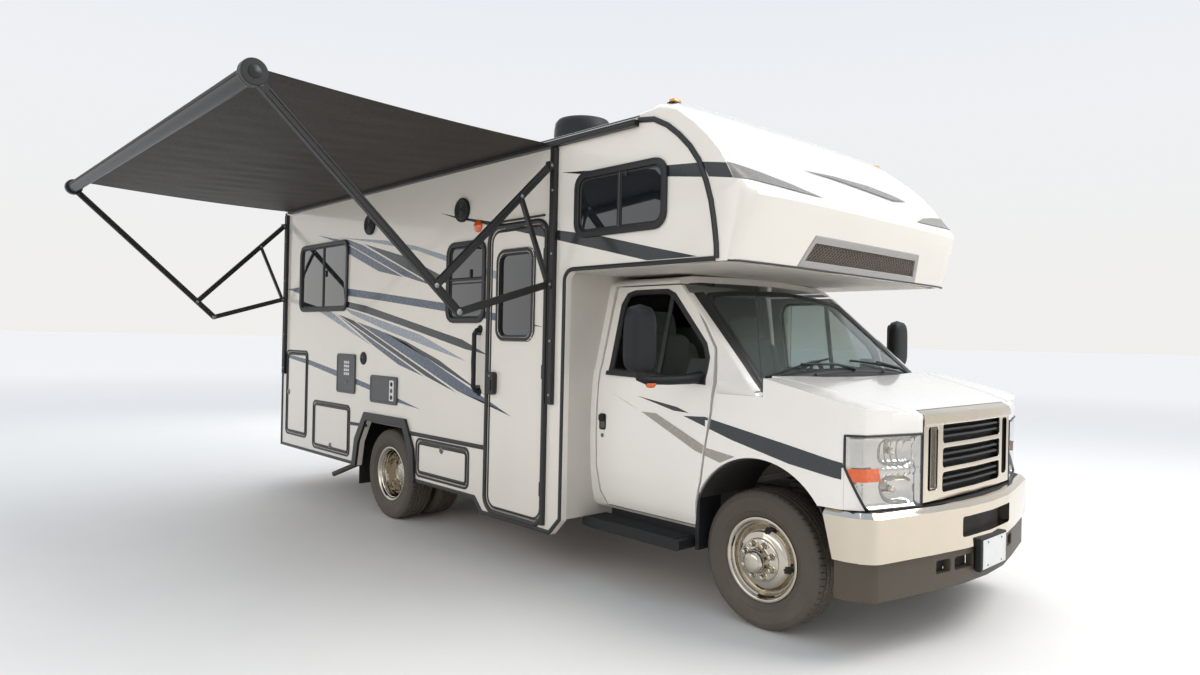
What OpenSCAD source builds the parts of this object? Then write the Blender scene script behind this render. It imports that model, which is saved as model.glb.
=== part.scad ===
// Class C motorhome on a cutaway van chassis, awning drawn out on the entry side.
// Millimetres. X forward, Y to the left, Z up. Modelled from the front axle, then
// moved so that the origin is the middle of the box on the ground.

/* [Wheels] */
// distance between the axles
wheelbase = 3505; // [3000:5:4200]
// tyre outside diameter
tyre_d = 736; // [680:2:800]
// tyre section width
tyre_w = 225; // [195:5:265]
// front tyre middle from the centre line
front_track_half = 830; // [780:5:880]
// outer rear tyre middle from the centre line
rear_track_half = 1102; // [1040:2:1110]
// spacing of the twin rear tyres
twin_pitch = 270; // [255:1:300]
// radius of the bead seat
bead_r = 203; // [190:1:210]
// kingpin from the centre line
kingpin_y = 775; // [760:1:780]

/* [Coach] */
// half width over the coach walls
coach_hw = 1235; // [1100:5:1270]
// wall thickness
wall_t = 45; // [30:1:70]
// coach behind the rear axle
rear_overhang = 2235; // [1900:5:3200]
// front face of the coach behind the cab
coach_front_x = -1270; // [-1400:5:-1200]
// bottom edge of the skirt
skirt_z = 370; // [300:5:450]
// top of the walls
wall_top_z = 2760; // [2500:10:3000]
// rise of the roof over the walls in the middle
roof_rise = 75; // [50:5:120]
// underside of the cab-over bunk
bunk_z = 1930; // [1880:5:2000]
// underside of the coach floor
floor_z = 760; // [740:5:900]
// coach floor thickness
floor_t = 60; // [40:5:90]

/* [Doors] */
// clearance round doors and lids
door_gap = 9; // [8:1:12]
// entry door rear edge
entry_x0 = -2075; // [-2200:5:-1900]
// entry door front edge
entry_x1 = -1465; // [-1600:5:-1440]
// entry door bottom
entry_z0 = 335; // [300:5:400]
// entry door top
entry_z1 = 2255; // [2100:5:2300]

/* [Baggage] */
// depth of the baggage boxes behind the wall
bag_depth = 520; // [400:10:560]
// thickness of a side lid
lid_t = 30; // [20:1:36]

/* [Awning] */
// roller axis from the centre line
roller_y = 3100; // [2600:10:3400]
// roller axis height
roller_z = 2740; // [2600:5:2800]
// roller radius
roller_r = 45; // [35:1:60]
// radius of the roller end heads
head_r = 62; // [50:1:80]
// front arm plane
arm_front_x = -1390; // [-1420:5:-1350]
// rear arm plane from the rear face of the coach
arm_rear_inset = 70; // [50:5:150]

/* [Ends] */
// front face of the front bumper
bumper_x = 820; // [780:5:860]
// rear bumper behind the coach
rear_bumper_reach = 140; // [100:5:200]
// outer face of a mirror
mirror_y = 1530; // [1400:10:1600]

/* [Hidden] */
$fn = 48;
tyre_r = tyre_d / 2;
rear_x = -wheelbase;
coach_rear_x = rear_x - rear_overhang;
rear_bumper_x = coach_rear_x - rear_bumper_reach;
inner_hw = coach_hw - wall_t;
// running gap between pieces that seat on one another
fit = 0.3;
// frame rails [inner y, outer y] and [bottom, top]
rail_y = [360, 430];
rail_z = [500, 660];
// inner edge of the baggage boxes, with a margin for the floor
bag_edge = inner_hw - bag_depth - 20;
// margin between a baggage box and the floor panels beside it
bag_margin = 12;
arm_rear_x = coach_rear_x + arm_rear_inset;
x_mid = (bumper_x + rear_bumper_x) / 2;
y_mid = (mirror_y - roller_y - head_r) / 2;
roof_z = wall_top_z + roof_rise;

// half outline of the cab: from the sill up to the roof [y, z]
cab_half = [[760, 455], [930, 455], [955, 480], [978, 560], [998, 700], [1006, 900], [1004, 1080],
    [996, 1230], [984, 1310], [965, 1370], [853, 1848], [838, 1880], [800, 1903], [700, 1917],
    [350, 1927], [0, 1929]];
// the same, one shell thickness inside
cab_half_in = [[795, 700], [930, 700], [958, 900], [956, 1080], [948, 1230], [937, 1300], [918, 1362],
    [806, 1840], [780, 1868], [690, 1876], [0, 1886]];

// cab door outline seen from the side [x, z]
door_line = [[-1220, 1862], [-1220, 720], [-1200, 560], [-1150, 470], [-410, 470], [-398, 610],
    [-360, 735], [-325, 945], [-292, 1120], [-268, 1300], [-309, 1484], [-480, 1698], [-618, 1834],
    [-655, 1862]];
// the same with the clearance taken off
door_line_in = [[-1192, 1854], [-1204, 1400], [-1208, 1200], [-1208, 720], [-1188, 564], [-1143, 478],
    [-418, 478], [-406, 612], [-368, 738], [-333, 947], [-304, 1122], [-296, 1290], [-327, 1478],
    [-491, 1690], [-628, 1824], [-662, 1854]];
// top of the thick foot of the cab door [y, z], which ends ahead of the door's rear edge to swing clear
door_foot = [905, 740];
door_foot_x = -1110;
// inner face of the cab door [y, z]
door_inner = [[795 + fit, 400], [795 + fit, 700], door_foot, [925, 900], [923, 1080], [915, 1230],
    [935, 1300], [933, 1370], [821, 1846], [790, 1900]];
// window in the cab door
door_pane = [[-1120, 1322], [-1118, 1740], [-1085, 1800], [-1030, 1815], [-760, 1815], [-700, 1790],
    [-400, 1500], [-365, 1425], [-365, 1300]];

// windshield: a part of a wide cylinder that leans back
ws_base = [40, 1335];
ws_lean = 48.85;
ws_r = 5000;

// trim line where the cap meets the side wall, and the middle line of the cap [x, z]
trim_line = [[-660, 2760], [-541, 2743], [-440, 2692], [-355, 2627], [-275, 2550], [-212, 2466],
    [-160, 2350], [-126, 2247], [-108, 2160], [-96, 2089], [-86, 2020], [-80, 1930]];
side_line = [[-660, 2790], [-510, 2800], [-380, 2760], [-265, 2680], [-165, 2590], [-85, 2500],
    [-20, 2400], [20, 2320], [20, 2260], [5, 2160], [-10, 2050], [-30, 1930]];
mid_line = [[-660, 2835], [-560, 2880], [-470, 2865], [-380, 2785], [-240, 2650], [-100, 2512],
    [30, 2385], [120, 2310], [150, 2262], [120, 2150], [80, 2050], [35, 1930]];
// cap stations from the side to the middle [inset from the side, share of the middle line]
cap_share = [[0, 0], [7, 0.16], [23, 0.34], [45, 0.48], [85, 0.64], [145, 0.76], [235, 0.86],
    [385, 0.93], [635, 0.98], [935, 1]];
cap_t = 34;
// edge of the cap that lies on the side wall
cap_edge = 55;
// mesh panel in the front of the cap: its lower and upper edge [half width, z], and how far it is sunk
cap_panel = [[660, 1960], [600, 2085]];
cap_panel_depth = 18;
// cap stations over the full width [y, share]
cap_rows = concat([for (c = cap_share) [c[0] - coach_hw, c[1]]], [[0, 1]],
    [for (i = [len(cap_share) - 1:-1:0]) [coach_hw - cap_share[i][0], cap_share[i][1]]]);
cap_n = len(mid_line);

// side lids on the entry side [x0, z0, x1, z1]
lid_rear = [coach_rear_x + 130, 515, coach_rear_x + 610, 1325];
lid_mid = [rear_x - 1445, 445, rear_x - 700, 862];
lid_low = [rear_x + 490, 440, entry_x0 - 240, 700];
// windows in the side walls [x0, z0, x1, z1]
window_back = [coach_rear_x + 450, 1750, coach_rear_x + 1440, 2346];
window_bunk = [-1166, 2155, -460, 2500];
windows_right = [window_back, [-2600, 1640, -2155, 2180], window_bunk];
windows_left = [window_back, [-3150, 1640, -2050, 2250], window_bunk];
// window in the rear wall [y0, z0, y1, z1]
window_rear = [-550, 1700, 550, 2250];
// pane of the entry door [x0, z0, x1, z1]
entry_pane = [entry_x0 + 110, 1520, entry_x1 - 140, 2085];

// rear wheel arch [x from the axle, z]
arch_line = [[-525, 200], [-525, 370], [-480, 580], [-350, 782], [280, 782], [385, 600], [405, 370],
    [405, 200]];
flare_line = [[-600, 372], [-552, 610], [-388, 850], [318, 850], [452, 628], [478, 372]];

function arc(cx, cy, r, a0, a1, n) =
    [for (i = [0:n]) [cx + r * cos(a0 + (a1 - a0) * i / n), cy + r * sin(a0 + (a1 - a0) * i / n)]];
function rr(b, r, n = 4) = concat(
    arc(b[2] - r, b[3] - r, r, 0, 90, n), arc(b[0] + r, b[3] - r, r, 90, 180, n),
    arc(b[0] + r, b[1] + r, r, 180, 270, n), arc(b[2] - r, b[1] + r, r, 270, 360, n));
function grow(b, d) = [b[0] - d, b[1] - d, b[2] + d, b[3] + d];
function mix(a, b, s) = a * (1 - s) + b * s;

// extrude an [x, z] outline from y0 to y1
module xz(y0, y1) {
    translate([0, y1, 0])
        rotate([90, 0, 0])
            linear_extrude(height = y1 - y0) children();
}

// extrude a [y, z] outline from x0 to x1
module yz(x0, x1) {
    translate([x0, 0, 0])
        rotate([90, 0, 90])
            linear_extrude(height = x1 - x0) children();
}

// extrude an [x, y] outline from z0 to z1
module xy(z0, z1) {
    translate([0, 0, z0])
        linear_extrude(height = z1 - z0) children();
}

module box(x0, x1, y0, y1, z0, z1) {
    translate([x0, y0, z0])
        cube([x1 - x0, y1 - y0, z1 - z0]);
}

module both_sides() {
    children();
    mirror([0, 1, 0]) children();
}

// round bar from p to q
module bar(p, q, r) {
    d = q - p;
    l = norm(d);
    translate(p)
        rotate([0, acos(d[2] / l), atan2(d[1], d[0])])
            cylinder(r = r, h = l);
}

// turn a profile [radius, along the axle] round the Y axis
module wheel_turn(pts) {
    rotate([-90, 0, 0])
        rotate_extrude() polygon(pts);
}

module place() {
    translate([-x_mid, -y_mid, 0]) children();
}

module cab_section(pts) {
    polygon(concat(pts, [for (i = [len(pts) - 2:-1:0]) [-pts[i][0], pts[i][1]]]));
}

// everything behind the windshield face moved by d along its normal
module behind_glass(d) {
    translate([ws_base[0], 0, ws_base[1]])
        rotate([0, -ws_lean, 0])
            translate([d - ws_r, 0, -2600])
                cylinder(r = ws_r, h = 4600, $fn = 720);
}

// prism through the windshield opening, shrunk by d and reaching back inside the glass
module ws_prism(d, back = 400) {
    translate([ws_base[0], 0, ws_base[1]])
        rotate([0, -ws_lean, 0])
            yz(-back, 200)
                polygon([[-900 + d, 30 + d], [900 - d, 30 + d], [880 - d, 120], [745 - d, 730],
                    [700 - d, 772 - d], [-700 + d, 772 - d], [-745 + d, 730], [-880 + d, 120]]);
}

// chassis

module frame_rails() {
    color("#2b2c2e") {
        both_sides() box(coach_rear_x + 60, 690, rail_y[0], rail_y[1], rail_z[0], rail_z[1]);
        for (x = [560, -1100, -2150, rear_x + 555, rear_x - 645, coach_rear_x + 240])
            box(x, x + 80, -rail_y[0] + fit, rail_y[0] - fit, 560, 640);
    }
}

module axle_beam(side) {
    // one swinging beam from the far rail to its kingpin
    s = side;
    difference() {
        union() {
            xy(275, 365)
                polygon([[s * 30, -s * rail_y[1]], [s * 90, -s * rail_y[1]], [s * 90, s * 420],
                    [s * 36, s * 610], [s * 36, s * kingpin_y], [-s * 36, s * kingpin_y],
                    [-s * 36, s * 590], [s * 30, s * 380]]);
            translate([0, s * kingpin_y, 275])
                cylinder(r = 36, h = 90);
            scale([s, s, 1]) {
                box(30, 90, -rail_y[1], -rail_y[0], 365, rail_z[0]);
                box(-45, 45, 460, 560, 365, 385);
            }
        }
        translate([0, s * kingpin_y, 200])
            cylinder(r = 20 + fit, h = 300);
    }
}

module front_suspension() {
    color("#303236") {
        axle_beam(1);
        axle_beam(-1);
        both_sides()
            translate([0, 510, 385]) {
                cylinder(r = 46, h = 330);
                for (i = [0:7])
                    translate([0, 0, 20 + 41 * i])
                        rotate_extrude() translate([50, 0]) circle(r = 12);
            }
        both_sides() box(-60, 60, 430, 575, 715, 735);
        both_sides() box(-60, 60, 430, 460, 560, 715);
    }
}

module knuckle() {
    // kingpin, fork, spindle, brake disc and steering arm of the left wheel
    translate([0, kingpin_y, 240])
        cylinder(r = 20, h = 160);
    for (z = [235, 365 + fit])
        translate([0, kingpin_y, z])
            cylinder(r = 36, h = 40 - fit);
    box(-36, 36, kingpin_y, 835, 235, 275 - fit);
    box(-36, 36, kingpin_y, 835, 365 + fit, 405);
    box(-36, 36, 813, 835, 235, 430);
    bar([0, 830, tyre_r], [0, 900, tyre_r], 28);
    bar([0, 834, tyre_r], [0, 852, tyre_r], 150);
    box(-115, -20, 755, 785, 240, 270);
}

module knuckle_right() {
    color("#3a3b3e") mirror([0, 1, 0]) knuckle();
}

module knuckle_left() {
    color("#3a3b3e") knuckle();
}

// rim barrel about its own middle [radius, along]
module rim_barrel() {
    wheel_turn([[bead_r + 19, -85], [bead_r + 19, -77], [bead_r, -74], [bead_r, -50], [190, -35],
        [190, 35], [bead_r, 50], [bead_r, 74], [bead_r + 19, 77], [bead_r + 19, 85], [bead_r + 8, 86],
        [bead_r - 12, 70], [bead_r - 12, 48], [180, 32], [180, -32], [bead_r - 12, -48],
        [bead_r - 12, -70], [bead_r + 8, -86]]);
}

module front_wheel(side) {
    color("#c9ccd0")
        translate([0, side * front_track_half, tyre_r])
            scale([1, side, 1])
                difference() {
                    union() {
                        rim_barrel();
                        wheel_turn([[184, 20], [150, 70], [110, 82], [40, 82], [40, 64], [104, 64],
                            [140, 56], [182, 0]]);
                        wheel_turn([[28 + fit, 27], [58, 27], [58, 150], [46, 176], [0, 180], [0, 75],
                            [28 + fit, 75]]);
                    }
                    for (a = [0:45:359])
                        rotate([0, a + 22.5, 0])
                            translate([150, 0, 0])
                                rotate([-90, 0, 0])
                                    translate([0, 0, -10]) cylinder(r = 19, h = 120, $fn = 24);
                }
}

module front_wheel_right() {
    front_wheel(-1);
}

module front_wheel_left() {
    front_wheel(1);
}

// tyre about its own middle
module tyre() {
    h = tyre_w / 2;
    color("#191a1b")
        wheel_turn([[bead_r + fit, -73], [bead_r + 21, -73], [bead_r + 22, -90], [265, -h + 3], [305, -h],
            [tyre_r - 26, -h + 7], [tyre_r - 7, -h + 20], [tyre_r, -h + 40], [tyre_r, h - 40],
            [tyre_r - 7, h - 20], [tyre_r - 26, h - 7], [305, h], [265, h - 3], [bead_r + 22, 90],
            [bead_r + 21, 73], [bead_r + fit, 73]]);
}

module front_tyre_right() {
    translate([0, -front_track_half, tyre_r]) tyre();
}

module front_tyre_left() {
    translate([0, front_track_half, tyre_r]) tyre();
}

module rear_wheels(side) {
    half = twin_pitch / 2;
    color("#c9ccd0")
        translate([rear_x, side * (rear_track_half - half), tyre_r])
            scale([1, side, 1])
                difference() {
                    union() {
                        translate([0, half, 0]) rim_barrel();
                        translate([0, -half, 0]) rim_barrel();
                        wheel_turn([[186, half - 30], [160, 20], [140, 12], [46, 12], [46, -12],
                            [140, -12], [160, -20], [186, -half + 30], [182, -half], [150, -34],
                            [134, -26], [40 + fit, -26], [40 + fit, 26], [134, 26], [150, 34],
                            [182, half]]);
                        wheel_turn([[40 + fit, -30], [84, -30], [84, 110], [70, 132], [0, 136], [0, 60],
                            [40 + fit, 60]]);
                    }
                    for (a = [0:45:359])
                        rotate([0, a, 0])
                            translate([125, -60, 0])
                                rotate([-90, 0, 0]) cylinder(r = 17, h = 120, $fn = 24);
                }
}

module rear_wheels_right() {
    rear_wheels(-1);
}

module rear_wheels_left() {
    rear_wheels(1);
}

module rear_tyres(side) {
    for (y = [rear_track_half, rear_track_half - twin_pitch])
        translate([rear_x, side * y, tyre_r]) tyre();
}

module rear_tyres_right() {
    rear_tyres(-1);
}

module rear_tyres_left() {
    rear_tyres(1);
}

// leaf spring: radius of its arc, thickness and half the angle that it spans
leaf_r = 1405;
leaf_t = 43;
leaf_half = 30;
axle_tube_r = 45;
drum_y = [640, 790];
pad_h = 20;
// top of the spring under the axle, and the centre of its arc
leaf_top = tyre_r - axle_tube_r - pad_h;
leaf_cz = leaf_top - leaf_t + leaf_r;
// spring hangers under the rails: outer face from the axle, and the spring's top there
hanger_x = 680;
hanger_z = leaf_cz - sqrt(pow(leaf_r - leaf_t, 2) - pow(hanger_x, 2));

module rear_axle() {
    color("#303236") {
        bar([rear_x, fit - drum_y[0], tyre_r], [rear_x, drum_y[0] - fit, tyre_r], axle_tube_r);
        translate([rear_x, 0, tyre_r]) sphere(r = 150);
        bar([rear_x + 100, 0, tyre_r], [rear_x + 220, 0, tyre_r], 60);
        both_sides() {
            box(rear_x - 60, rear_x + 60, 470, 550, leaf_top + fit, tyre_r);
            bar([rear_x, drum_y[0], tyre_r], [rear_x, drum_y[1], tyre_r], 160);
            bar([rear_x, drum_y[1] - 1, tyre_r], [rear_x, 1015, tyre_r], 40);
            xz(475, 545)
                polygon(concat(arc(rear_x, leaf_cz, leaf_r, 270 - leaf_half, 270 + leaf_half, 12),
                    arc(rear_x, leaf_cz, leaf_r - leaf_t, 270 + leaf_half, 270 - leaf_half, 12)));
            for (x = [rear_x - hanger_x, rear_x + hanger_x - 40])
                box(x, x + 40, rail_y[1], 545, hanger_z + fit, 640);
        }
    }
}

module engine() {
    color("#4a4d50") {
        box(-120, 420, -270, 270, 430, 1030);
        bar([-1000, 0, 520], [-120 - fit, 0, 520], 115);
        bar([rear_x + 220 + fit, 0, tyre_r], [-1003, 0, 505], 38);
        both_sides() box(100, 180, 270 + fit, rail_y[0], 520, 600);
        box(470, 540, -420, 420, 670, 1110);
        box(420 + fit, 470 - fit, -60, 60, 800, 900);
        bar([505, 0, 1110 + fit], [505, 0, 1205.5], 10);
    }
}

// exhaust run: height, distance from the centre line and pipe radius
pipe_z = 452;
pipe_y = -240;
pipe_r = 26;
muffler_x = [-2800, -2250];

module exhaust() {
    color("#6d6a66") {
        bar([muffler_x[1] + fit, pipe_y, pipe_z], [-120 - fit, pipe_y, pipe_z], pipe_r);
        bar([muffler_x[0], pipe_y, pipe_z - 12], [muffler_x[1], pipe_y, pipe_z - 12], 88);
        bar([rear_x - 840, pipe_y, pipe_z], [muffler_x[0] - fit, pipe_y, pipe_z], pipe_r);
        bar([rear_x - 825, pipe_y + 25, pipe_z + 4], [rear_x - 1095, -960, 285], 25);
        bar([rear_x - 1085, -945, 290], [rear_x - 1325, -1080, 170], 24);
        for (x = [rear_x - 625, -1080])
            box(x, x + 30, pipe_y - 20, pipe_y + 20, pipe_z + pipe_r + fit, 560);
    }
}

module fuel_tank() {
    color("#26272a")
        box(rear_x - 1875, rear_x - 975, -rail_y[0], rail_y[0], 390, 620);
}

// front end of the cab

// rounded outline of the nose seen from above, moved out by d
function nose(d) = concat([[-500, -1008 - d], [430, -1008 - d]], arc(430, -788, 220 + d, 278, 318, 4),
    [[690 + d, -600], [712 + d, -360], [722 + d, 0], [712 + d, 360], [690 + d, 600]],
    arc(430, 788, 220 + d, 42, 82, 4), [[430, 1008 + d], [-500, 1008 + d]]);

// falling shoulder beside the hood [across, up]
shoulder = [[-1800, 260], [-300, 40], [-60, 4], [0, -4], [60, -18], [130, -48], [210, -98],
    [270, -160], [310, -240], [340, -400], [340, -1200], [-1800, -1200]];

// solid whose top is the sloping hood with its falling shoulders, t inside the outer face
module nose_block(t) {
    intersection() {
        xy(440, 1400) polygon(nose(-t));
        yz(-600, 900)
            polygon([[940 - t, 430], [978 - t, 560], [1000 - t, 700], [1008 - t, 900], [1008 - t, 1400],
                [t - 1008, 1400], [t - 1008, 900], [t - 1000, 700], [t - 978, 560], [t - 940, 430]]);
        xz(-1100, 1100)
            translate([0, -t])
                polygon([[-600, 400], [800, 400], [800, 1140], [690, 1176], [656, 1194], [500, 1236],
                    [250, 1292], [40, 1335], [-130, 1362], [-600, 1420]]);
        for (s = [-1, 1])
            translate([656, s * (680 - t), 1196 - t])
                rotate([0, 9.6, -s * 20.8])
                    yz(-1600, 700)
                        polygon([for (p = shoulder) [s * p[0], p[1]]]);
    }
}

// hood outline seen from above, moved out by d
module hood_line(d) {
    polygon([[2 - d, -862 - d], [200, -808 - d], [500, -708 - d], [640 + d, -655 - d], [662 + d, -600],
        [672 + d, 0], [662 + d, 600], [640 + d, 655 + d], [500, 708 + d], [200, 808 + d], [2 - d, 862 + d],
        [20 - d, 700], [60 - d, 400], [75 - d, 0], [60 - d, -400], [20 - d, -700]]);
}

module hood() {
    color("#eceae4")
        intersection() {
            difference() {
                nose_block(0);
                translate([0, 0, -26]) nose_block(0);
            }
            xy(1060, 1500) hood_line(0);
            box(-200, 655, -1000, 1000, 1150, 1500);
        }
}

module front_fenders() {
    color("#eceae4")
        both_sides()
            difference() {
                intersection() {
                    nose_block(0);
                    box(-420, 700, 560, 1100, 540, 1500);
                }
                nose_block(34);
                xy(1000, 1500) hood_line(7);
                translate([20, 0, 475])
                    rotate([-90, 0, 0]) cylinder(r = 438, h = 1200, $fn = 240);
                xz(500, 1100)
                    polygon([[-700, 400], [-398, 400], [-390, 610], [-352, 735], [-317, 945], [-282, 1120],
                        [-252, 1250], [-252, 1600], [-700, 1600]]);
                box(-320, 52, 500, 1100, 1236 - fit, 1600);
                box(380, 900, 500, 1100, 400, 728);
                box(512, 900, 500, 1100, 400, 1084);
                box(640, 900, 500, 1100, 400, 1500);
            }
}

module headlamps() {
    color("#dfe6ea")
        both_sides()
            difference() {
                intersection() {
                    nose_block(0);
                    xz(560, 1100)
                        polygon([[512 + fit, 932], [512 + fit, 1084 - fit], [800, 1084 - fit],
                            [800, 722 + fit], [600, 722 + fit]]);
                }
                nose_block(60);
                box(400, 560, 500, 930, 600, 1100);
            }
}

module wheel_liners() {
    color("#1d1e20")
        both_sides()
            difference() {
                translate([20, 470, 475])
                    rotate([-90, 0, 0]) cylinder(r = 438 - fit, h = 515, $fn = 72);
                translate([20, 400, 475])
                    rotate([-90, 0, 0]) cylinder(r = 429, h = 700, $fn = 72);
                box(-600, 700, 300, 1100, 0, 640);
            }
}

// grille slots: three across the middle and one upright on each side
slot_z = [772, 897, 1022];
slot_h = 100;

module grille() {
    color("#c9ccd0") {
        difference() {
            intersection() {
                xy(735, 1178) polygon(nose(4));
                box(640, 800, -552, 552, 735, 1178);
            }
            xy(700, 1200) polygon(nose(-34));
            for (z = slot_z)
                yz(500, 900) polygon(rr([-372, z, 372, z + slot_h], 20));
            for (s = [-1, 1])
                yz(500, 900) polygon(rr([s * 465 - 47, 790, s * 465 + 47, 1110], 20));
        }
        intersection() {
            xy(1156, 1178) polygon(nose(4));
            box(664, 800, -552, 552, 1156, 1178);
        }
        for (s = [-1, 1])
            box(540 + fit, 690, s * 309 - 10, s * 309 + 10, slot_z[0] + slot_h + 3, slot_z[1] - 3);
    }
}

// bumper outline seen from above, moved out by d
function bumper_arc(d) = concat([[415, -1012 - d]], arc(500, -802, 210 + d, 280, 325, 4),
    [[bumper_x - 62 + d, -520], [bumper_x - 14 + d, -260], [bumper_x + d, 0], [bumper_x - 14 + d, 260],
    [bumper_x - 62 + d, 520]], arc(500, 802, 210 + d, 35, 80, 4), [[415, 1012 + d]]);

// bevel along the top edge of the front bumper
bumper_bevel = 24;

module front_bumper() {
    color("#c9ccd0") {
        difference() {
            hull() {
                xy(488, 722 - bumper_bevel) polygon(bumper_arc(0));
                xy(488, 722) polygon(bumper_arc(-bumper_bevel));
            }
            xy(400, 800) polygon(bumper_arc(-55));
            box(300, 414, -1100, 1100, 400, 800);
            xz(-1100, 1100) polygon([[300, 488], [470, 488], [415, 700], [300, 700]]);
            yz(500, 900) polygon(rr([-310, 548, 310, 652], 14));
        }
        both_sides() box(690, 740, 372, 418, 520, 640);
    }
}

// air vents beside the plate [inner y, outer y]
valance_vents = [[165, 340], [375, 490]];

module bumper_valance() {
    color("#6f6961")
        difference() {
            xy(300, 487.7) polygon(bumper_arc(-18));
            xy(200, 600) polygon(bumper_arc(-60));
            box(300, 470, -1100, 1100, 200, 600);
            both_sides()
                for (v = valance_vents)
                    yz(500, 900) polygon(rr([v[0], 380, v[1], 445], 12));
        }
}

// cab

// cut for one cab door, left side
module door_cut() {
    xz(795, 1200) polygon(door_line);
    intersection() {
        xz(740, 1200) polygon(door_line);
        box(coach_front_x - 20, 0, 700, 1200, 1290, 1900);
    }
}

module cab_shell() {
    color("#eceae4")
        difference() {
            union() {
                difference() {
                    intersection() {
                        yz(coach_front_x, 60) cab_section(cab_half);
                        xz(-1100, 1100)
                            polygon([[coach_front_x, 440], [-425, 440], [-425, 600], [-262, 1236],
                                [30, 1236], [45, 1335], [-500, 1945], [coach_front_x, 1945]]);
                        behind_glass(0);
                    }
                    yz(coach_front_x - 10, 100) cab_section(cab_half_in);
                    box(coach_front_x - 10, 100, -760, 760, 400, 660);
                    ws_prism(0);
                }
                xz(-785, 785) polygon([[-470, 670], [-430, 670], [-230, 1236], [-270, 1236]]);
                xz(-890, 890) polygon([[-438, 770], [-398, 770], [-230, 1236], [-270, 1236]]);
                intersection() {
                    xz(-962, 962)
                        polygon([[-272, 1226], [30, 1238], [40, 1322], [-10, 1322], [-60, 1270],
                            [-272, 1262]]);
                    behind_glass(-6);
                }
            }
            ws_prism(0, 110);
            door_cut();
            mirror([0, 1, 0]) door_cut();
        }
}

module windshield() {
    color("#9fb3bd")
        intersection() {
            difference() {
                behind_glass(-3);
                behind_glass(-11);
            }
            ws_prism(fit);
            yz(coach_front_x, 60) cab_section(cab_half);
        }
}

module cab_door() {
    // door on the left; the right one is its mirror image
    difference() {
        intersection() {
            yz(-1250, -200) cab_section(cab_half);
            xz(600, 1100) polygon(door_line_in);
            yz(-1300, -100) polygon(concat(door_inner, [[1200, 1900], [1200, 400]]));
        }
        xz(500, 1200) polygon(door_pane);
        box(-1300, door_foot_x, 600, door_foot[0], 400, door_foot[1]);
    }
}

module cab_pane() {
    difference() {
        intersection() {
            yz(-1250, -200) translate([-12, 0]) cab_section(cab_half);
            xz(600, 1100) offset(delta = -fit) polygon(door_pane);
        }
        yz(-1300, -100) translate([-18, 0]) cab_section(cab_half);
    }
}

module mirror_unit() {
    difference() {
        xy(1262, 1322) link([-330, 940], [-436, 1310], 56);
        yz(-900, 0) translate([fit, 0]) cab_section(cab_half);
    }
    box(-456, -416, 1290, 1340, 1262, 1420);
    xz(1300, mirror_y) polygon(rr([-486, 1340, -396, 1700], 42));
}

module cab_door_left() {
    color("#eceae4") cab_door();
}

module cab_door_right() {
    color("#eceae4") mirror([0, 1, 0]) cab_door();
}

module cab_glass_left() {
    color("#6d7b82") cab_pane();
}

module cab_glass_right() {
    color("#6d7b82") mirror([0, 1, 0]) cab_pane();
}

module mirror_left() {
    color("#1d1e20") mirror_unit();
}

module mirror_right() {
    color("#1d1e20") mirror([0, 1, 0]) mirror_unit();
}

// steering wheel: centre and radius of its rim
steer_at = [-640, 480, 1215];
steer_r = 185;

module dashboard() {
    color("#5b5853") {
        xz(-860, 860) polygon([[-392, 900], [-500, 900], [-560, 1100], [-500, 1222], [-276, 1222]]);
        bar([-480, steer_at[1], 1130], steer_at, 32);
        translate(steer_at)
            rotate([0, -70, 0]) {
                rotate_extrude() translate([steer_r, 0]) circle(r = 15);
                cylinder(r = 60, h = 20);
                for (a = [0, 120, 240])
                    rotate([0, 0, a]) translate([40, -14, 4]) cube([steer_r - 44, 28, 12]);
            }
    }
}

// top of the cab floor, and heights of the seat base and cushion over it
cab_floor_z = 700;
seat_base_h = 110;
cushion_t = 150;

module cab_seats() {
    cushion_z = cab_floor_z + seat_base_h;
    color("#7d766c")
        both_sides() {
            box(-1020, -660, 260, 700, cab_floor_z, cushion_z);
            xz(220, 740) polygon(rr([-1060, cushion_z, -580, cushion_z + cushion_t], 60));
            translate([-1040, 0, cushion_z + cushion_t - 15])
                rotate([0, -12, 0]) {
                    xz(230, 730) polygon(rr([-60, 0, 80, 600], 55));
                    xz(370, 590) polygon(rr([-40, 600, 60, 760], 40));
                }
        }
}

module running_boards() {
    color("#1d1e20")
        both_sides() {
            xz(890, 1085) polygon(rr([-1240, 345, -432, 405], 20));
            box(-1140, -440, 890, 925, 400, 455);
        }
}

// coach

// side wall seen from the right; the entry side dips below the door
module wall_outline(deep) {
    back = coach_rear_x + wall_t;
    dip = [[coach_front_x, 385], [entry_x1 + 90, 280], [entry_x0 - 55, 280], [entry_x0 - 151, skirt_z]];
    polygon(concat([[back, skirt_z], [back, wall_top_z]], trim_line,
        arc(coach_front_x + 70, bunk_z - 70, 70, 90, 180, 4), deep ? dip : [[coach_front_x, skirt_z]]));
}

module arch_cut() {
    translate([rear_x, 0]) polygon(arch_line);
}

module coach_wall_right() {
    color("#eceae4")
        xz(-coach_hw, -inner_hw)
            difference() {
                wall_outline(true);
                arch_cut();
                for (w = windows_right)
                    polygon(rr(w, 70));
                polygon(rr([entry_x0, entry_z0, entry_x1, entry_z1], 90));
                for (l = [lid_rear, lid_mid, lid_low])
                    polygon(rr(l, 40));
            }
}

module coach_wall_left() {
    color("#eceae4")
        xz(inner_hw, coach_hw)
            difference() {
                wall_outline(false);
                arch_cut();
                for (w = windows_left)
                    polygon(rr(w, 70));
                polygon(rr(lid_mid, 40));
            }
}

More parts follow.
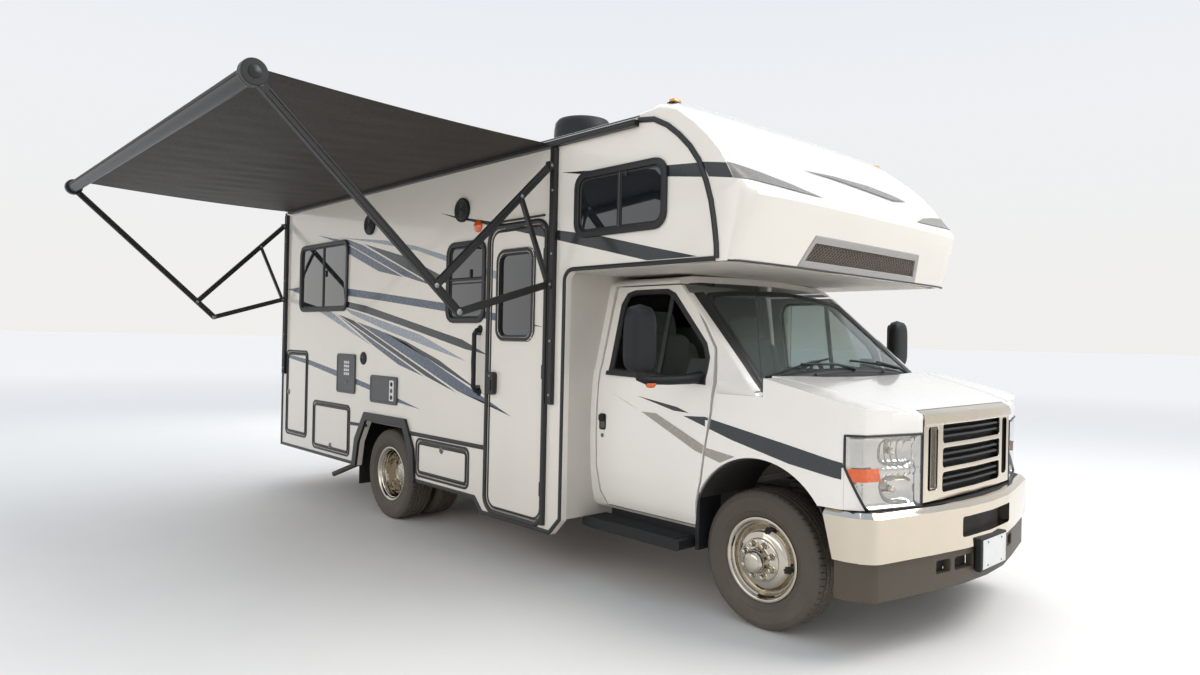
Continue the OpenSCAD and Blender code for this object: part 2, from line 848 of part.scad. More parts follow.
module coach_wall_rear() {
    color("#eceae4")
        yz(coach_rear_x, coach_rear_x + wall_t)
            difference() {
                polygon([[-coach_hw, skirt_z], [coach_hw, skirt_z], [coach_hw, wall_top_z],
                    [-coach_hw, wall_top_z]]);
                polygon(rr(window_rear, 70));
                polygon([[-46, 300], [46, 300], [46, 424], [-46, 424]]);
                for (s = [-1, 1])
                    translate([s * 395, 560]) square([74, 168], center = true);
            }
}

module coach_bulkhead() {
    color("#e4e0d8")
        yz(coach_front_x - wall_t, coach_front_x)
            difference() {
                polygon([[-inner_hw, 390], [-760, 390], [-760, 700], [760, 700], [760, 390], [inner_hw, 390],
                    [inner_hw, bunk_z], [-inner_hw, bunk_z]]);
                polygon(rr([-780, 740, 780, 1850], 30));
            }
}

module bunk_floor() {
    color("#e4e0d8")
        xy(bunk_z, bunk_z + 40)
            polygon([[coach_front_x - wall_t, -inner_hw], [-90, -inner_hw], [-30, 335 - coach_hw], [-10, 0],
                [-30, coach_hw - 335], [-90, inner_hw], [coach_front_x - wall_t, inner_hw]]);
}

module floor_panel(x0, x1, y0, y1) {
    box(x0, x1, y0, y1, floor_z, floor_z + floor_t);
}

// step well behind the entry door: depth of the step, of the landing, and their heights
step_y = -1000;
landing_y = -800;
step_z = 345;
landing_z = 540;
sheet_t = 20;

module step_tray() {
    edge = -inner_hw + fit;
    top = floor_z - fit;
    box(entry_x0, entry_x1, edge, step_y, step_z, step_z + sheet_t);
    box(entry_x0, entry_x1, step_y + fit, step_y + sheet_t, step_z, landing_z + sheet_t);
    box(entry_x0, entry_x1, step_y + sheet_t + fit, landing_y, landing_z, landing_z + sheet_t);
    box(entry_x0, entry_x1, landing_y + fit, landing_y + sheet_t, landing_z, top);
    for (x = [entry_x0 - sheet_t - fit, entry_x1 + fit])
        box(x, x + sheet_t, edge, landing_y + sheet_t, step_z, top);
}

module coach_floor() {
    back = coach_rear_x + wall_t;
    front = coach_front_x - wall_t - 12;
    side = bag_edge + fit;
    m = bag_margin;
    color("#8a8378") {
        floor_panel(back, front, -bag_edge, bag_edge);
        for (r = [[back, lid_rear[0] - m], [lid_rear[2] + m, lid_mid[0] - m], [lid_mid[2] + m, entry_x0],
                [entry_x1, front]])
            floor_panel(r[0], r[1], -inner_hw, -side);
        floor_panel(entry_x0 + fit, entry_x1 - fit, landing_y, -side);
        for (r = [[back, lid_mid[0] - m], [lid_mid[2] + m, front]])
            floor_panel(r[0], r[1], side, inner_hw);
        for (x = [-1500, -2250, rear_x + 605, rear_x - 745, rear_x - 1345, coach_rear_x + 140])
            box(x, x + 60, -bag_edge + 10, bag_edge - 10, rail_z[1], floor_z - fit);
        step_tray();
    }
}

// open box behind a lid opening b, with a lip in the wall that the lid closes on
module bag_box(b) {
    difference() {
        union() {
            box(b[0] - 10, b[2] + 10, -inner_hw, -inner_hw + bag_depth, b[1] - 10, b[3] + 10);
            xz(-coach_hw + lid_t + fit, -inner_hw + 1) polygon(rr(grow(b, -fit), 40));
        }
        box(b[0] + 14, b[2] - 14, -coach_hw, -inner_hw + bag_depth - 12, b[1] + 14, b[3] - 14);
    }
}

module baggage_boxes() {
    color("#3d3f42") {
        for (b = [lid_rear, lid_mid, lid_low])
            bag_box(b);
        mirror([0, 1, 0]) bag_box(lid_mid);
    }
}

// flat lid filling an opening in the right wall
module lid(b) {
    xz(-coach_hw, -coach_hw + lid_t) polygon(rr(grow(b, -door_gap), 34));
}

module baggage_door_rear() {
    color("#eceae4") lid(lid_rear);
}

module baggage_door_mid() {
    color("#eceae4") lid(lid_mid);
}

module baggage_door_low() {
    color("#eceae4") lid(lid_low);
}

module baggage_door_left() {
    color("#eceae4") mirror([0, 1, 0]) lid(lid_mid);
}

module entry_door() {
    color("#eceae4") {
        xz(-coach_hw, -inner_hw)
            difference() {
                polygon(rr(grow([entry_x0, entry_z0, entry_x1, entry_z1], -door_gap), 82));
                polygon(rr(entry_pane, 60));
            }
        xz(-coach_hw - 14, -coach_hw)
            difference() {
                polygon(rr(grow(entry_pane, 28), 80));
                polygon(rr(entry_pane, 60));
            }
        xz(-coach_hw - 34, -coach_hw) polygon(rr([entry_x0 + 30, 1130, entry_x0 + 90, 1270], 20));
    }
}

module entry_door_glass() {
    color("#4a555b")
        xz(-coach_hw + 8, -coach_hw + 14) polygon(rr(grow(entry_pane, -fit), 60));
}

module roof_solid() {
    yz(coach_rear_x, -660)
        polygon(concat([[-coach_hw, wall_top_z], [coach_hw, wall_top_z], [coach_hw, wall_top_z + 18],
            [coach_hw - 12, wall_top_z + 32]],
            [for (i = [0:10]) let (u = 1 - i / 5) [u * (coach_hw - 45), roof_z - 32 * u * u]],
            [[-coach_hw + 12, wall_top_z + 32], [-coach_hw, wall_top_z + 18]]));
}

module coach_roof() {
    color("#e6e4de") roof_solid();
}

// outer and inner points of the cap at one station
function cap_out(r) = [for (i = [0:cap_n - 1])
    let (p = mix(side_line[i], mid_line[i], r[1]))
    [p[0], r[0], p[1]]];
function cap_in(r) = [for (i = [0:cap_n - 1])
    let (p = abs(r[0]) > coach_hw - cap_edge ? trim_line[i] + [0.4, 0.4]
        : mix(side_line[i], mid_line[i], r[1]) + (i == 0 ? [0, -cap_t] : i == cap_n - 1 ? [-cap_t, 0]
            : i < 5 ? [-cap_t * 0.7, -cap_t * 0.7] : [-cap_t, -8]))
    [i == 0 ? -660 : p[0], r[0], p[1]]];

// sunk face of the mesh panel, along the middle line of the cap
module cap_recess() {
    face = [for (i = [cap_n - 3:cap_n - 1]) mid_line[i] - [cap_panel_depth, 0]];
    edge = concat(cap_panel, [for (i = [1, 0]) [-cap_panel[i][0], cap_panel[i][1]]]);
    intersection() {
        yz(-100, 400) polygon(edge);
        xz(-coach_hw, coach_hw) polygon(concat(face, [[400, face[2][1]], [400, face[0][1]]]));
    }
}

module front_cap() {
    m = len(cap_rows);
    outer = [for (r = cap_rows) each cap_out(r)];
    inner = [for (r = cap_rows) each cap_in(r)];
    k = m * cap_n;
    skin = [for (j = [0:m - 2]) for (i = [0:cap_n - 2])
        each let (a = j * cap_n + i, b = a + 1, c = a + cap_n, d = c + 1) [[a, c, b], [b, c, d]]];
    lining = [for (f = skin) [f[0] + k, f[2] + k, f[1] + k]];
    edge_top = [for (j = [0:m - 2])
        each let (a = j * cap_n, c = a + cap_n) [[a, a + k, c], [c, a + k, c + k]]];
    edge_low = [for (j = [0:m - 2])
        each let (a = j * cap_n + cap_n - 1, c = a + cap_n) [[a, c, a + k], [c, c + k, a + k]]];
    edge_r = [for (i = [0:cap_n - 2])
        each let (a = i, b = i + 1) [[a, b, a + k], [b, b + k, a + k]]];
    edge_l = [for (i = [0:cap_n - 2])
        each let (a = (m - 1) * cap_n + i, b = a + 1) [[a, a + k, b], [b, a + k, b + k]]];
    color("#eceae4")
        difference() {
            polyhedron(points = concat(outer, inner),
                faces = concat(skin, lining, edge_top, edge_low, edge_r, edge_l));
            cap_recess();
        }
}

module window_ring(b) {
    difference() {
        polygon(rr(grow(b, 26), 90));
        polygon(rr(grow(b, -12), 58));
    }
}

module window_frames() {
    color("#141516") {
        for (w = windows_right)
            xz(-coach_hw - 16, -coach_hw) window_ring(w);
        for (w = windows_left)
            xz(coach_hw, coach_hw + 16) window_ring(w);
        yz(coach_rear_x - 16, coach_rear_x) window_ring(window_rear);
    }
}

module window_glass() {
    color("#20262a") {
        for (w = windows_right)
            xz(-coach_hw, -coach_hw + 6) polygon(rr(grow(w, -fit), 70));
        for (w = windows_left)
            xz(coach_hw - 6, coach_hw) polygon(rr(grow(w, -fit), 70));
        yz(coach_rear_x, coach_rear_x + 6) polygon(rr(grow(window_rear, -fit), 70));
    }
}

module wheel_arch_flares() {
    color("#1d1e20") {
        both_sides()
            xz(coach_hw, coach_hw + 24)
                difference() {
                    translate([rear_x, 0]) polygon(flare_line);
                    arch_cut();
                }
        both_sides() {
            box(rear_x - 580, rear_x - 570, 720, inner_hw, 200, 740);
            box(rear_x - 600, rear_x - 550, 640, 760, 700, floor_z);
        }
    }
}

// loudspeakers [x, z], service panels [x0, z0, x1, z1] and the grab handle beside the door
speakers = [[rear_x - 362, 2460], [-2436, 2435]];
service_panels = [[rear_x - 945, 990, rear_x - 585, 1340], [rear_x - 295, 945, rear_x + 165, 1175]];
grab_x = entry_x0 - 115;
grab_y = -coach_hw - 45;

module side_fittings() {
    color("#4b4e52") {
        for (c = speakers)
            translate([c[0], -coach_hw, c[1]])
                rotate([90, 0, 0]) cylinder(r = 85, h = 22);
        for (b = service_panels)
            xz(-coach_hw - 12, -coach_hw) polygon(rr(b, 25));
        bar([grab_x, grab_y, 1150], [grab_x, grab_y, 1555], 13);
        for (z = [1165, 1540])
            bar([grab_x, grab_y, z], [grab_x, -coach_hw, z], 13);
    }
}

module roof_fittings() {
    color("#202224")
        difference() {
            union() {
                translate([-1860, -600, 0])
                    rotate_extrude()
                        polygon(concat([[0, roof_z - 30], [215, roof_z - 30], [205, roof_z + 60]],
                            arc(0, roof_z + 80, 195, 0, 90, 8)));
                translate([rear_x, 0, 0])
                    yz(-360, 360) polygon(rr([-330, roof_z - 60, 330, roof_z + 240], 60));
            }
            roof_solid();
        }
}

// hitch receiver height and half width of the rear bumper
hitch_z = 380;
bumper_hw = coach_hw - 55;

module rear_bumper() {
    color("#c9ccd0") {
        xz(-bumper_hw, bumper_hw)
            polygon([[rear_bumper_x, 425], [coach_rear_x, 425], [coach_rear_x, 480],
                [rear_bumper_x + 12, 560], [rear_bumper_x, 548]]);
        both_sides() box(coach_rear_x - 60, coach_rear_x + 60, rail_y[0] + 2, rail_y[1] - 2, 480, 640);
        difference() {
            box(rear_bumper_x + 4, coach_rear_x + 340, -38, 38, hitch_z - 38, hitch_z + 38);
            box(rear_bumper_x - 20, coach_rear_x + 290, -25.5, 25.5, hitch_z - 25.5, hitch_z + 25.5);
            bar([rear_bumper_x + 54, -60, hitch_z], [rear_bumper_x + 54, 60, hitch_z], 8);
        }
        box(coach_rear_x + 260, coach_rear_x + 320, -30, 30, hitch_z + 38, 560);
    }
}

module tail_lamps() {
    color("#a02018")
        both_sides()
            yz(coach_rear_x - 30, coach_rear_x) polygon(rr([coach_hw - 355, 760, coach_hw - 55, 960], 40));
}

// awning

module awning_rail() {
    color("#1b1c1e") {
        box(arm_rear_x + 70, trim_line[0][0] - 2, -coach_hw - 40, -coach_hw, wall_top_z - 38, wall_top_z - 2);
        for (x = [arm_front_x, arm_rear_x])
            box(x - 28, x + 28, -coach_hw - 26, -coach_hw, 1100, 2720);
    }
}

// flat link between two points [y, z]
module link(p, q, w) {
    d = q - p;
    l = norm(d);
    n = [-d[1], d[0]] / l * w / 2;
    polygon([p + n, p - n, q - n, q + n]);
    translate(p) circle(r = w / 2);
    translate(q) circle(r = w / 2);
}

module awning_arms() {
    wall_y = -coach_hw - 48;
    low_pin = [wall_y, 1855];
    top_pin = [wall_y, 2600];
    elbow = [-coach_hw - 700, 1655];
    head = [-roller_y + 30, roller_z - 40];
    // the rafter meets the main arm a little past the elbow, and the strut meets the rafter
    knee = mix(elbow, head, 0.136);
    color("#1b1c1e")
        for (x = [arm_front_x, arm_rear_x]) {
            yz(x - 14, x + 14) {
                link(low_pin, elbow, 42);
                link(elbow, head, 46);
                link(top_pin, knee, 42);
                link(mix(top_pin, knee, 0.28), low_pin, 24);
            }
            bar([x - 30, -roller_y, roller_z], [x + 30, -roller_y, roller_z], head_r);
            for (p = [low_pin, top_pin])
                box(x - 20, x + 20, wall_y - 20, -coach_hw - 26, p[1] - 24, p[1] + 24);
        }
}

module awning_roller() {
    color("#d8d5cd")
        bar([arm_rear_x + 30, -roller_y, roller_z], [arm_front_x - 30, -roller_y, roller_z], roller_r);
}

module awning_fabric() {
    y0 = -coach_hw - 40;
    z0 = wall_top_z - 12;
    z1 = roller_z + roller_r + fit;
    top = [for (i = [0:8]) let (u = i / 8) [mix(y0, -roller_y, u), mix(z0, z1, u) - 60 * u * (1 - u) + 3]];
    low = [for (i = [8:-1:0]) let (u = i / 8) [mix(y0, -roller_y, u), mix(z0, z1, u) - 60 * u * (1 - u)]];
    color("#3a3835")
        yz(arm_rear_x + 60, arm_front_x - 60) polygon(concat(top, low));
}

place() frame_rails();
place() front_suspension();
place() rear_axle();
place() engine();
place() exhaust();
place() fuel_tank();
place() front_bumper();
place() bumper_valance();
place() grille();
place() headlamps();
place() front_fenders();
place() wheel_liners();
place() cab_shell();
place() windshield();
place() dashboard();
place() cab_seats();
place() running_boards();
place() hood();
place() cab_door_right();
place() cab_glass_right();
place() mirror_right();
place() cab_door_left();
place() cab_glass_left();
place() mirror_left();
place() coach_floor();
place() coach_wall_right();
place() coach_wall_left();
place() coach_wall_rear();
place() coach_bulkhead();
place() bunk_floor();
place() coach_roof();
place() front_cap();
place() window_frames();
place() window_glass();
place() wheel_arch_flares();
place() baggage_boxes();
place() baggage_door_rear();
place() baggage_door_mid();
place() baggage_door_low();
place() baggage_door_left();
place() entry_door();
place() entry_door_glass();
place() side_fittings();
place() roof_fittings();
place() rear_bumper();
place() tail_lamps();
place() awning_rail();
place() awning_arms();
place() awning_roller();
place() awning_fabric();
place() knuckle_right();
place() knuckle_left();
place() front_wheel_right();
place() front_tyre_right();
place() front_wheel_left();
place() front_tyre_left();
place() rear_wheels_right();
place() rear_tyres_right();
place() rear_wheels_left();
place() rear_tyres_left();
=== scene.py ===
"""Looks of a class C motorhome with its awning out: finishes of the solids and the fine pieces on them.

Metres. Places are given from the front axle (X forward, Y left, Z up from the ground) and moved
into the row frame when a piece is made.
"""

import math

import bmesh
import bpy
from mathutils import Matrix, Vector
from mathutils.bvhtree import BVHTree


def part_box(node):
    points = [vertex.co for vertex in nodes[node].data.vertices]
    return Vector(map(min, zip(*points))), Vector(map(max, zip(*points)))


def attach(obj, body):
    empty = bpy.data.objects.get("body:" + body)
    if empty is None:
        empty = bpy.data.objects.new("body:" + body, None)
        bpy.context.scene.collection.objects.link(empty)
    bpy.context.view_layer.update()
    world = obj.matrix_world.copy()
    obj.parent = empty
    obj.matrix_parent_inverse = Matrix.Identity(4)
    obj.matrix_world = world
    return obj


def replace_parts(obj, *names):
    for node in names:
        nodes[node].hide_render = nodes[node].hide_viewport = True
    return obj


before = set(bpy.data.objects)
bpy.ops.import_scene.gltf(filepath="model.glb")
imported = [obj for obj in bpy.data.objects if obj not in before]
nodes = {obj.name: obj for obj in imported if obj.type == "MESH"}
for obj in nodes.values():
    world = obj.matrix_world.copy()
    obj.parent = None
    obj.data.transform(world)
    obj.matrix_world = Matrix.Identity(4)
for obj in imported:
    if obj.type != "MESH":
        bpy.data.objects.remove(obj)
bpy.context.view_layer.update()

COACH = "motorhome"
RIGHT, LEFT = -1, 1
SIDES = {"right": RIGHT, "left": LEFT}


def node_middle(node):
    low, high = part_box(node)
    return (low + high) / 2


AXLE = (node_middle("front_tyre_right") + node_middle("front_tyre_left")) / 2
AXLE.z = 0.0
REAR_AXLE_X = node_middle("rear_tyres_right").x - AXLE.x
TYRE_R = node_middle("front_tyre_right").z
FRONT_TRACK = abs(node_middle("front_tyre_right").y - AXLE.y)
WALL_Y = AXLE.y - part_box("coach_wall_right")[0].y
REAR_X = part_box("coach_wall_rear")[0].x - AXLE.x
ROOF_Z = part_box("coach_roof")[1].z

# openings in the side walls [x0, z0, x1, z1]
ENTRY = (-2.075, 0.335, -1.465, 2.255)
ENTRY_PANE = (-1.965, 1.520, -1.605, 2.085)
LIDS = {
    "baggage_door_rear": (-5.610, 0.515, -5.130, 1.325),
    "baggage_door_mid": (-4.950, 0.445, -4.205, 0.862),
    "baggage_door_low": (-3.015, 0.440, -2.315, 0.700),
}
WINDOW_BACK, WINDOW_BUNK = (-5.290, 1.750, -4.300, 2.346), (-1.166, 2.155, -0.460, 2.500)
WINDOWS = {"right": [WINDOW_BACK, (-2.600, 1.640, -2.155, 2.180), WINDOW_BUNK],
           "left": [WINDOW_BACK, (-3.150, 1.640, -2.050, 2.250), WINDOW_BUNK]}
SERVICE_PANELS = [(-4.450, 0.990, -4.090, 1.340), (-3.800, 0.945, -3.340, 1.175)]

# edge of the wall where the front cap begins [x, z]
CAP_EDGE = [(-0.660, 2.760), (-0.541, 2.743), (-0.440, 2.692), (-0.355, 2.627), (-0.275, 2.550),
            (-0.212, 2.466), (-0.160, 2.350), (-0.126, 2.247), (-0.108, 2.160), (-0.096, 2.089),
            (-0.086, 2.020), (-0.080, 1.930)]

# window in the cab door [x, z]
DOOR_PANE = [(-1.120, 1.322), (-1.118, 1.740), (-1.085, 1.800), (-1.030, 1.815), (-0.760, 1.815),
             (-0.700, 1.790), (-0.400, 1.500), (-0.365, 1.425), (-0.365, 1.300)]

# windshield: base in the middle, slope up the glass, face direction, radius across
GLASS_BASE = Vector((0.040, 0.0, 1.335))
GLASS_UP = Vector((-0.753, 0.0, 0.658))
GLASS_OUT = Vector((0.658, 0.0, 0.753))
GLASS_R = 5.0

# awning
ROLLER = Vector((0.0, -3.100, 2.740))
ROLLER_R = 0.045
AWNING_X = (-5.610, -1.450)
RAIL_EDGE = (-1.276, 2.7495)
ARM_PLANES = (-5.670, -1.390)
# joints of an awning arm in its own plane [y, z]
WALL_LOW, WALL_HIGH = (-1.283, 1.855), (-1.283, 2.600)
ELBOW, KNEE = (-1.935, 1.655), (-2.089, 1.797)
BRACE_END, ARM_TIP = (-1.509, 2.375), (-3.070, 2.700)


# Mesh building

class Shape:
    """Points and faces of one piece, gathered before its mesh is made."""

    def __init__(self):
        self.points = []
        self.faces = []
        self.finish_of = []

    def add(self, points, faces, finish=0):
        first = len(self.points)
        self.points += [tuple(p) for p in points]
        self.faces += [[i + first for i in face] for face in faces]
        self.finish_of += [finish] * len(faces)
        return self

    def grid(self, rows, finish=0, wrap_rows=False, wrap_points=False, caps=False):
        """Quads over rows of points; rows or points may close on themselves, and ends may be capped."""
        count, width = len(rows), len(rows[0])
        faces = []
        for j in range(count if wrap_rows else count - 1):
            for i in range(width if wrap_points else width - 1):
                a, b = j * width, (j + 1) % count * width
                k = (i + 1) % width
                faces.append([a + i, a + k, b + k, b + i])
        if caps:
            faces.append(list(range(width))[::-1])
            faces.append([(count - 1) * width + i for i in range(width)])
        return self.add([p for row in rows for p in row], faces, finish)

    def loft(self, rows, finish=0):
        """Closed solid through rows of points that go round it."""
        return self.grid(rows, finish, wrap_points=True, caps=True)

    def turned(self, profile, centre, axis, steps=48, finish=0):
        """A profile [radius, along] turned round an axis through centre."""
        axis = Vector(axis).normalized()
        u = axis.orthogonal().normalized()
        v = axis.cross(u)
        rows = []
        for i in range(steps):
            t = 2 * math.pi * i / steps
            out = u * math.cos(t) + v * math.sin(t)
            rows.append([Vector(centre) + out * max(r, 1e-4) + axis * s for r, s in profile])
        return self.grid(rows, finish, wrap_rows=True)

    def knob(self, profile, x, z, side, steps, finish=0):
        """A profile [radius, out of the wall] turned on a side wall."""
        return self.turned(profile, (x, side * WALL_Y, z), (0, side, 0), steps, finish)

    def tube(self, path, radius, around=10, finish=0, closed=False):
        """Round bar along a path of points."""
        path = [Vector(p) for p in path]
        side = None
        rows = []
        for i, p in enumerate(path):
            before = path[i - 1] if i or closed else p
            after = path[(i + 1) % len(path)] if i < len(path) - 1 or closed else p
            along = (after - before).normalized()
            side = (along.orthogonal() if side is None else side - along * side.dot(along)).normalized()
            up = along.cross(side)
            r = radius[i] if isinstance(radius, (list, tuple)) else radius
            turns = [2 * math.pi * k / around for k in range(around)]
            rows.append([p + (side * math.cos(a) + up * math.sin(a)) * r for a in turns])
        return self.grid(rows, finish, wrap_rows=closed, wrap_points=True, caps=not closed)

    def pillow(self, centre, size, square=0.4, around=32, rings=18, finish=0, turn=None):
        """Rounded block; square is 1 for an egg and near 0 for a box."""
        def soft(value):
            return math.copysign(abs(value) ** square, value)
        points = []
        for j in range(rings + 1):
            a = -math.pi / 2 + math.pi * (j + 0.001) / (rings + 0.002)
            for i in range(around):
                b = 2 * math.pi * i / around
                p = Vector((soft(math.cos(a)) * soft(math.cos(b)) * size[0] / 2,
                            soft(math.cos(a)) * soft(math.sin(b)) * size[1] / 2,
                            soft(math.sin(a)) * size[2] / 2))
                points.append(Vector(centre) + (turn @ p if turn else p))
        rows = [points[j * around:(j + 1) * around] for j in range(rings + 1)]
        return self.loft(rows, finish)

    def block(self, low, high, finish=0):
        """Box between two corners; bevelled later."""
        (x0, y0, z0), (x1, y1, z1) = low, high
        rows = [[(x0, y0, z), (x1, y0, z), (x1, y1, z), (x0, y1, z)] for z in (z0, z1)]
        return self.loft(rows, finish)

    def plate(self, outline, side, out0, out1, finish=0):
        """Flat plate with an [x, z] outline on a side wall, from out0 to out1 proud of it."""
        rows = [[(x, side * (WALL_Y + out), z) for x, z in outline] for out in (out0, out1)]
        return self.loft(rows, finish)

    def moulding(self, path, side, section, closed=False, finish=0):
        """Trim along an [x, z] path on a side wall; the section is [across, out of the wall]."""
        rows = []
        for i, p in enumerate(path):
            across = mitre(path, i, closed)
            rows.append([(p[0] + across[0] * c, side * (WALL_Y + out), p[1] + across[1] * c)
                         for c, out in section])
        return self.grid(rows, finish, wrap_rows=closed, wrap_points=True, caps=not closed)

    def make(self, name, finishes, body=COACH, slot=None, bevel=0.0, sharp=38, segments=2):
        """The piece as an object that rides on a body."""
        mesh = bpy.data.meshes.new(name)
        mesh.from_pydata([Vector(p) + AXLE for p in self.points], [], self.faces)
        for finish in finishes:
            mesh.materials.append(finish)
        mesh.polygons.foreach_set("material_index", self.finish_of)
        tidy = bmesh.new()
        tidy.from_mesh(mesh)
        bmesh.ops.recalc_face_normals(tidy, faces=tidy.faces)
        tidy.to_mesh(mesh)
        tidy.free()
        mesh.polygons.foreach_set("use_smooth", [True] * len(mesh.polygons))
        piece = bpy.data.objects.new(name, mesh)
        bpy.context.scene.collection.objects.link(piece)
        if bevel:
            round_edges(piece, bevel, segments)
        else:
            mesh.set_sharp_from_angle(angle=math.radians(sharp))
        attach(piece, body)
        return piece


def round_edges(piece, width, segments=2, angle=38):
    bevel = piece.modifiers.new("rounded edges", "BEVEL")
    bevel.width = width
    bevel.segments = segments
    bevel.limit_method = "ANGLE"
    bevel.angle_limit = math.radians(angle)
    bevel.use_clamp_overlap = True
    piece.modifiers.new("even shading", "WEIGHTED_NORMAL").keep_sharp = True


def mitre(path, i, closed):
    """Direction across a flat path at one point, longer where the path turns a corner."""
    def unit(p, q):
        d = math.hypot(q[0] - p[0], q[1] - p[1]) or 1.0
        return (q[0] - p[0]) / d, (q[1] - p[1]) / d
    last = len(path) - 1
    before = unit(path[i - 1], path[i]) if i or closed else unit(path[0], path[1])
    after = unit(path[i], path[(i + 1) % len(path)]) if i < last or closed else before
    tx, tz = before[0] + after[0], before[1] + after[1]
    size = math.hypot(tx, tz) or 1.0
    across = (-tz / size, tx / size)
    stretch = 1 / max(0.6, across[0] * -after[1] + across[1] * after[0])
    return across[0] * stretch, across[1] * stretch


def arc(cx, cz, r, start, end, steps=5):
    return [(cx + r * math.cos(math.radians(start + (end - start) * i / steps)),
             cz + r * math.sin(math.radians(start + (end - start) * i / steps))) for i in range(steps + 1)]


def rounded(box, r, steps=5):
    """Rounded rectangle of a box [x0, z0, x1, z1]."""
    x0, z0, x1, z1 = box
    return (arc(x1 - r, z1 - r, r, 0, 90, steps) + arc(x0 + r, z1 - r, r, 90, 180, steps)
            + arc(x0 + r, z0 + r, r, 180, 270, steps) + arc(x1 - r, z0 + r, r, 270, 360, steps))


def grown(box, d):
    return box[0] - d, box[1] - d, box[2] + d, box[3] + d


def crowned(width, height):
    """Section of a soft black trim: [across, out]."""
    w = width / 2
    return [(-w, -0.0005), (-w, height * 0.6), (-w * 0.6, height * 0.93), (0, height),
            (w * 0.6, height * 0.93), (w, height * 0.6), (w, -0.0005)]


def face_tree(*names):
    """Search tree over the faces of some solids, from the front axle."""
    points, faces = [], []
    for name in names:
        mesh = nodes[name].data
        first = len(points)
        points += [v.co - AXLE for v in mesh.vertices]
        faces += [[i + first for i in p.vertices] for p in mesh.polygons]
    return BVHTree.FromPolygons(points, faces)


def drop(tree, x, y):
    """Highest point of some solids at a place, or None beside them."""
    return tree.ray_cast(Vector((x, y, 4.0)), Vector((0, 0, -1)))[0]


def glass_point(y, s, lift=0.0):
    """Point on the windshield face, s up the glass from its base."""
    return (GLASS_BASE + Vector((0, y, 0)) + GLASS_UP * s + GLASS_OUT * (lift - y * y / (2 * GLASS_R)))


# Finishes

def group(name, inputs, outputs):
    """Empty shader node group with its sockets: the tree, its input node and its output node."""
    tree = bpy.data.node_groups.new(name, "ShaderNodeTree")
    for label, kind, value in inputs:
        tree.interface.new_socket(label, in_out="INPUT", socket_type=kind).default_value = value
    for label, kind in outputs:
        tree.interface.new_socket(label, in_out="OUTPUT", socket_type=kind)
    return tree, tree.nodes.new("NodeGroupInput"), tree.nodes.new("NodeGroupOutput")


def add_node(tree, kind, **values):
    node = tree.nodes.new(kind)
    for key, value in values.items():
        if key in node.inputs:
            node.inputs[key].default_value = value
        else:
            setattr(node, key, value)
    return node


FLOAT, COLOUR = "NodeSocketFloat", "NodeSocketColor"


def weathering_group():
    """Slight mottle all over, and road dust that gathers low down."""
    tree, inner, outer = group(
        "weathering",
        [("Clean", COLOUR, (0.8, 0.8, 0.8, 1)), ("Dust", COLOUR, (0.3, 0.25, 0.2, 1)), ("Amount", FLOAT, 0.2),
         ("Reach", FLOAT, 0.9), ("Mottle", FLOAT, 0.06), ("Patch", FLOAT, 2.5)],
        [("Colour", COLOUR), ("Dusty", FLOAT)])
    link = tree.links.new
    place = add_node(tree, "ShaderNodeTexCoord")
    split = add_node(tree, "ShaderNodeSeparateXYZ")
    link(place.outputs["Object"], split.inputs[0])
    patches = add_node(tree, "ShaderNodeTexNoise", Detail=5.0, Roughness=0.6)
    link(place.outputs["Object"], patches.inputs["Vector"])
    link(inner.outputs["Patch"], patches.inputs["Scale"])
    height = add_node(tree, "ShaderNodeMapRange")
    link(split.outputs["Z"], height.inputs["Value"])
    link(inner.outputs["Reach"], height.inputs["From Max"])
    height.inputs["To Min"].default_value = 1.0
    height.inputs["To Max"].default_value = 0.0
    uneven = add_node(tree, "ShaderNodeMath", operation="MULTIPLY")
    link(height.outputs["Result"], uneven.inputs[0])
    link(patches.outputs["Fac"], uneven.inputs[1])
    mask = add_node(tree, "ShaderNodeMath", operation="MULTIPLY")
    link(uneven.outputs[0], mask.inputs[0])
    link(inner.outputs["Amount"], mask.inputs[1])
    dim = add_node(tree, "ShaderNodeMapRange", **{"From Min": 0.3, "From Max": 0.7, "To Min": 1.0})
    link(patches.outputs["Fac"], dim.inputs["Value"])
    least = add_node(tree, "ShaderNodeMath", operation="SUBTRACT")
    least.inputs[0].default_value = 1.0
    link(inner.outputs["Mottle"], least.inputs[1])
    link(least.outputs[0], dim.inputs["To Max"])
    shaded = add_node(tree, "ShaderNodeVectorMath", operation="SCALE")
    link(inner.outputs["Clean"], shaded.inputs[0])
    link(dim.outputs["Result"], shaded.inputs["Scale"])
    mixed = add_node(tree, "ShaderNodeMix", data_type="RGBA")
    link(mask.outputs[0], mixed.inputs[0])
    link(shaded.outputs[0], mixed.inputs[6])
    link(inner.outputs["Dust"], mixed.inputs[7])
    link(mixed.outputs[2], outer.inputs["Colour"])
    link(mask.outputs[0], outer.inputs["Dusty"])
    return tree


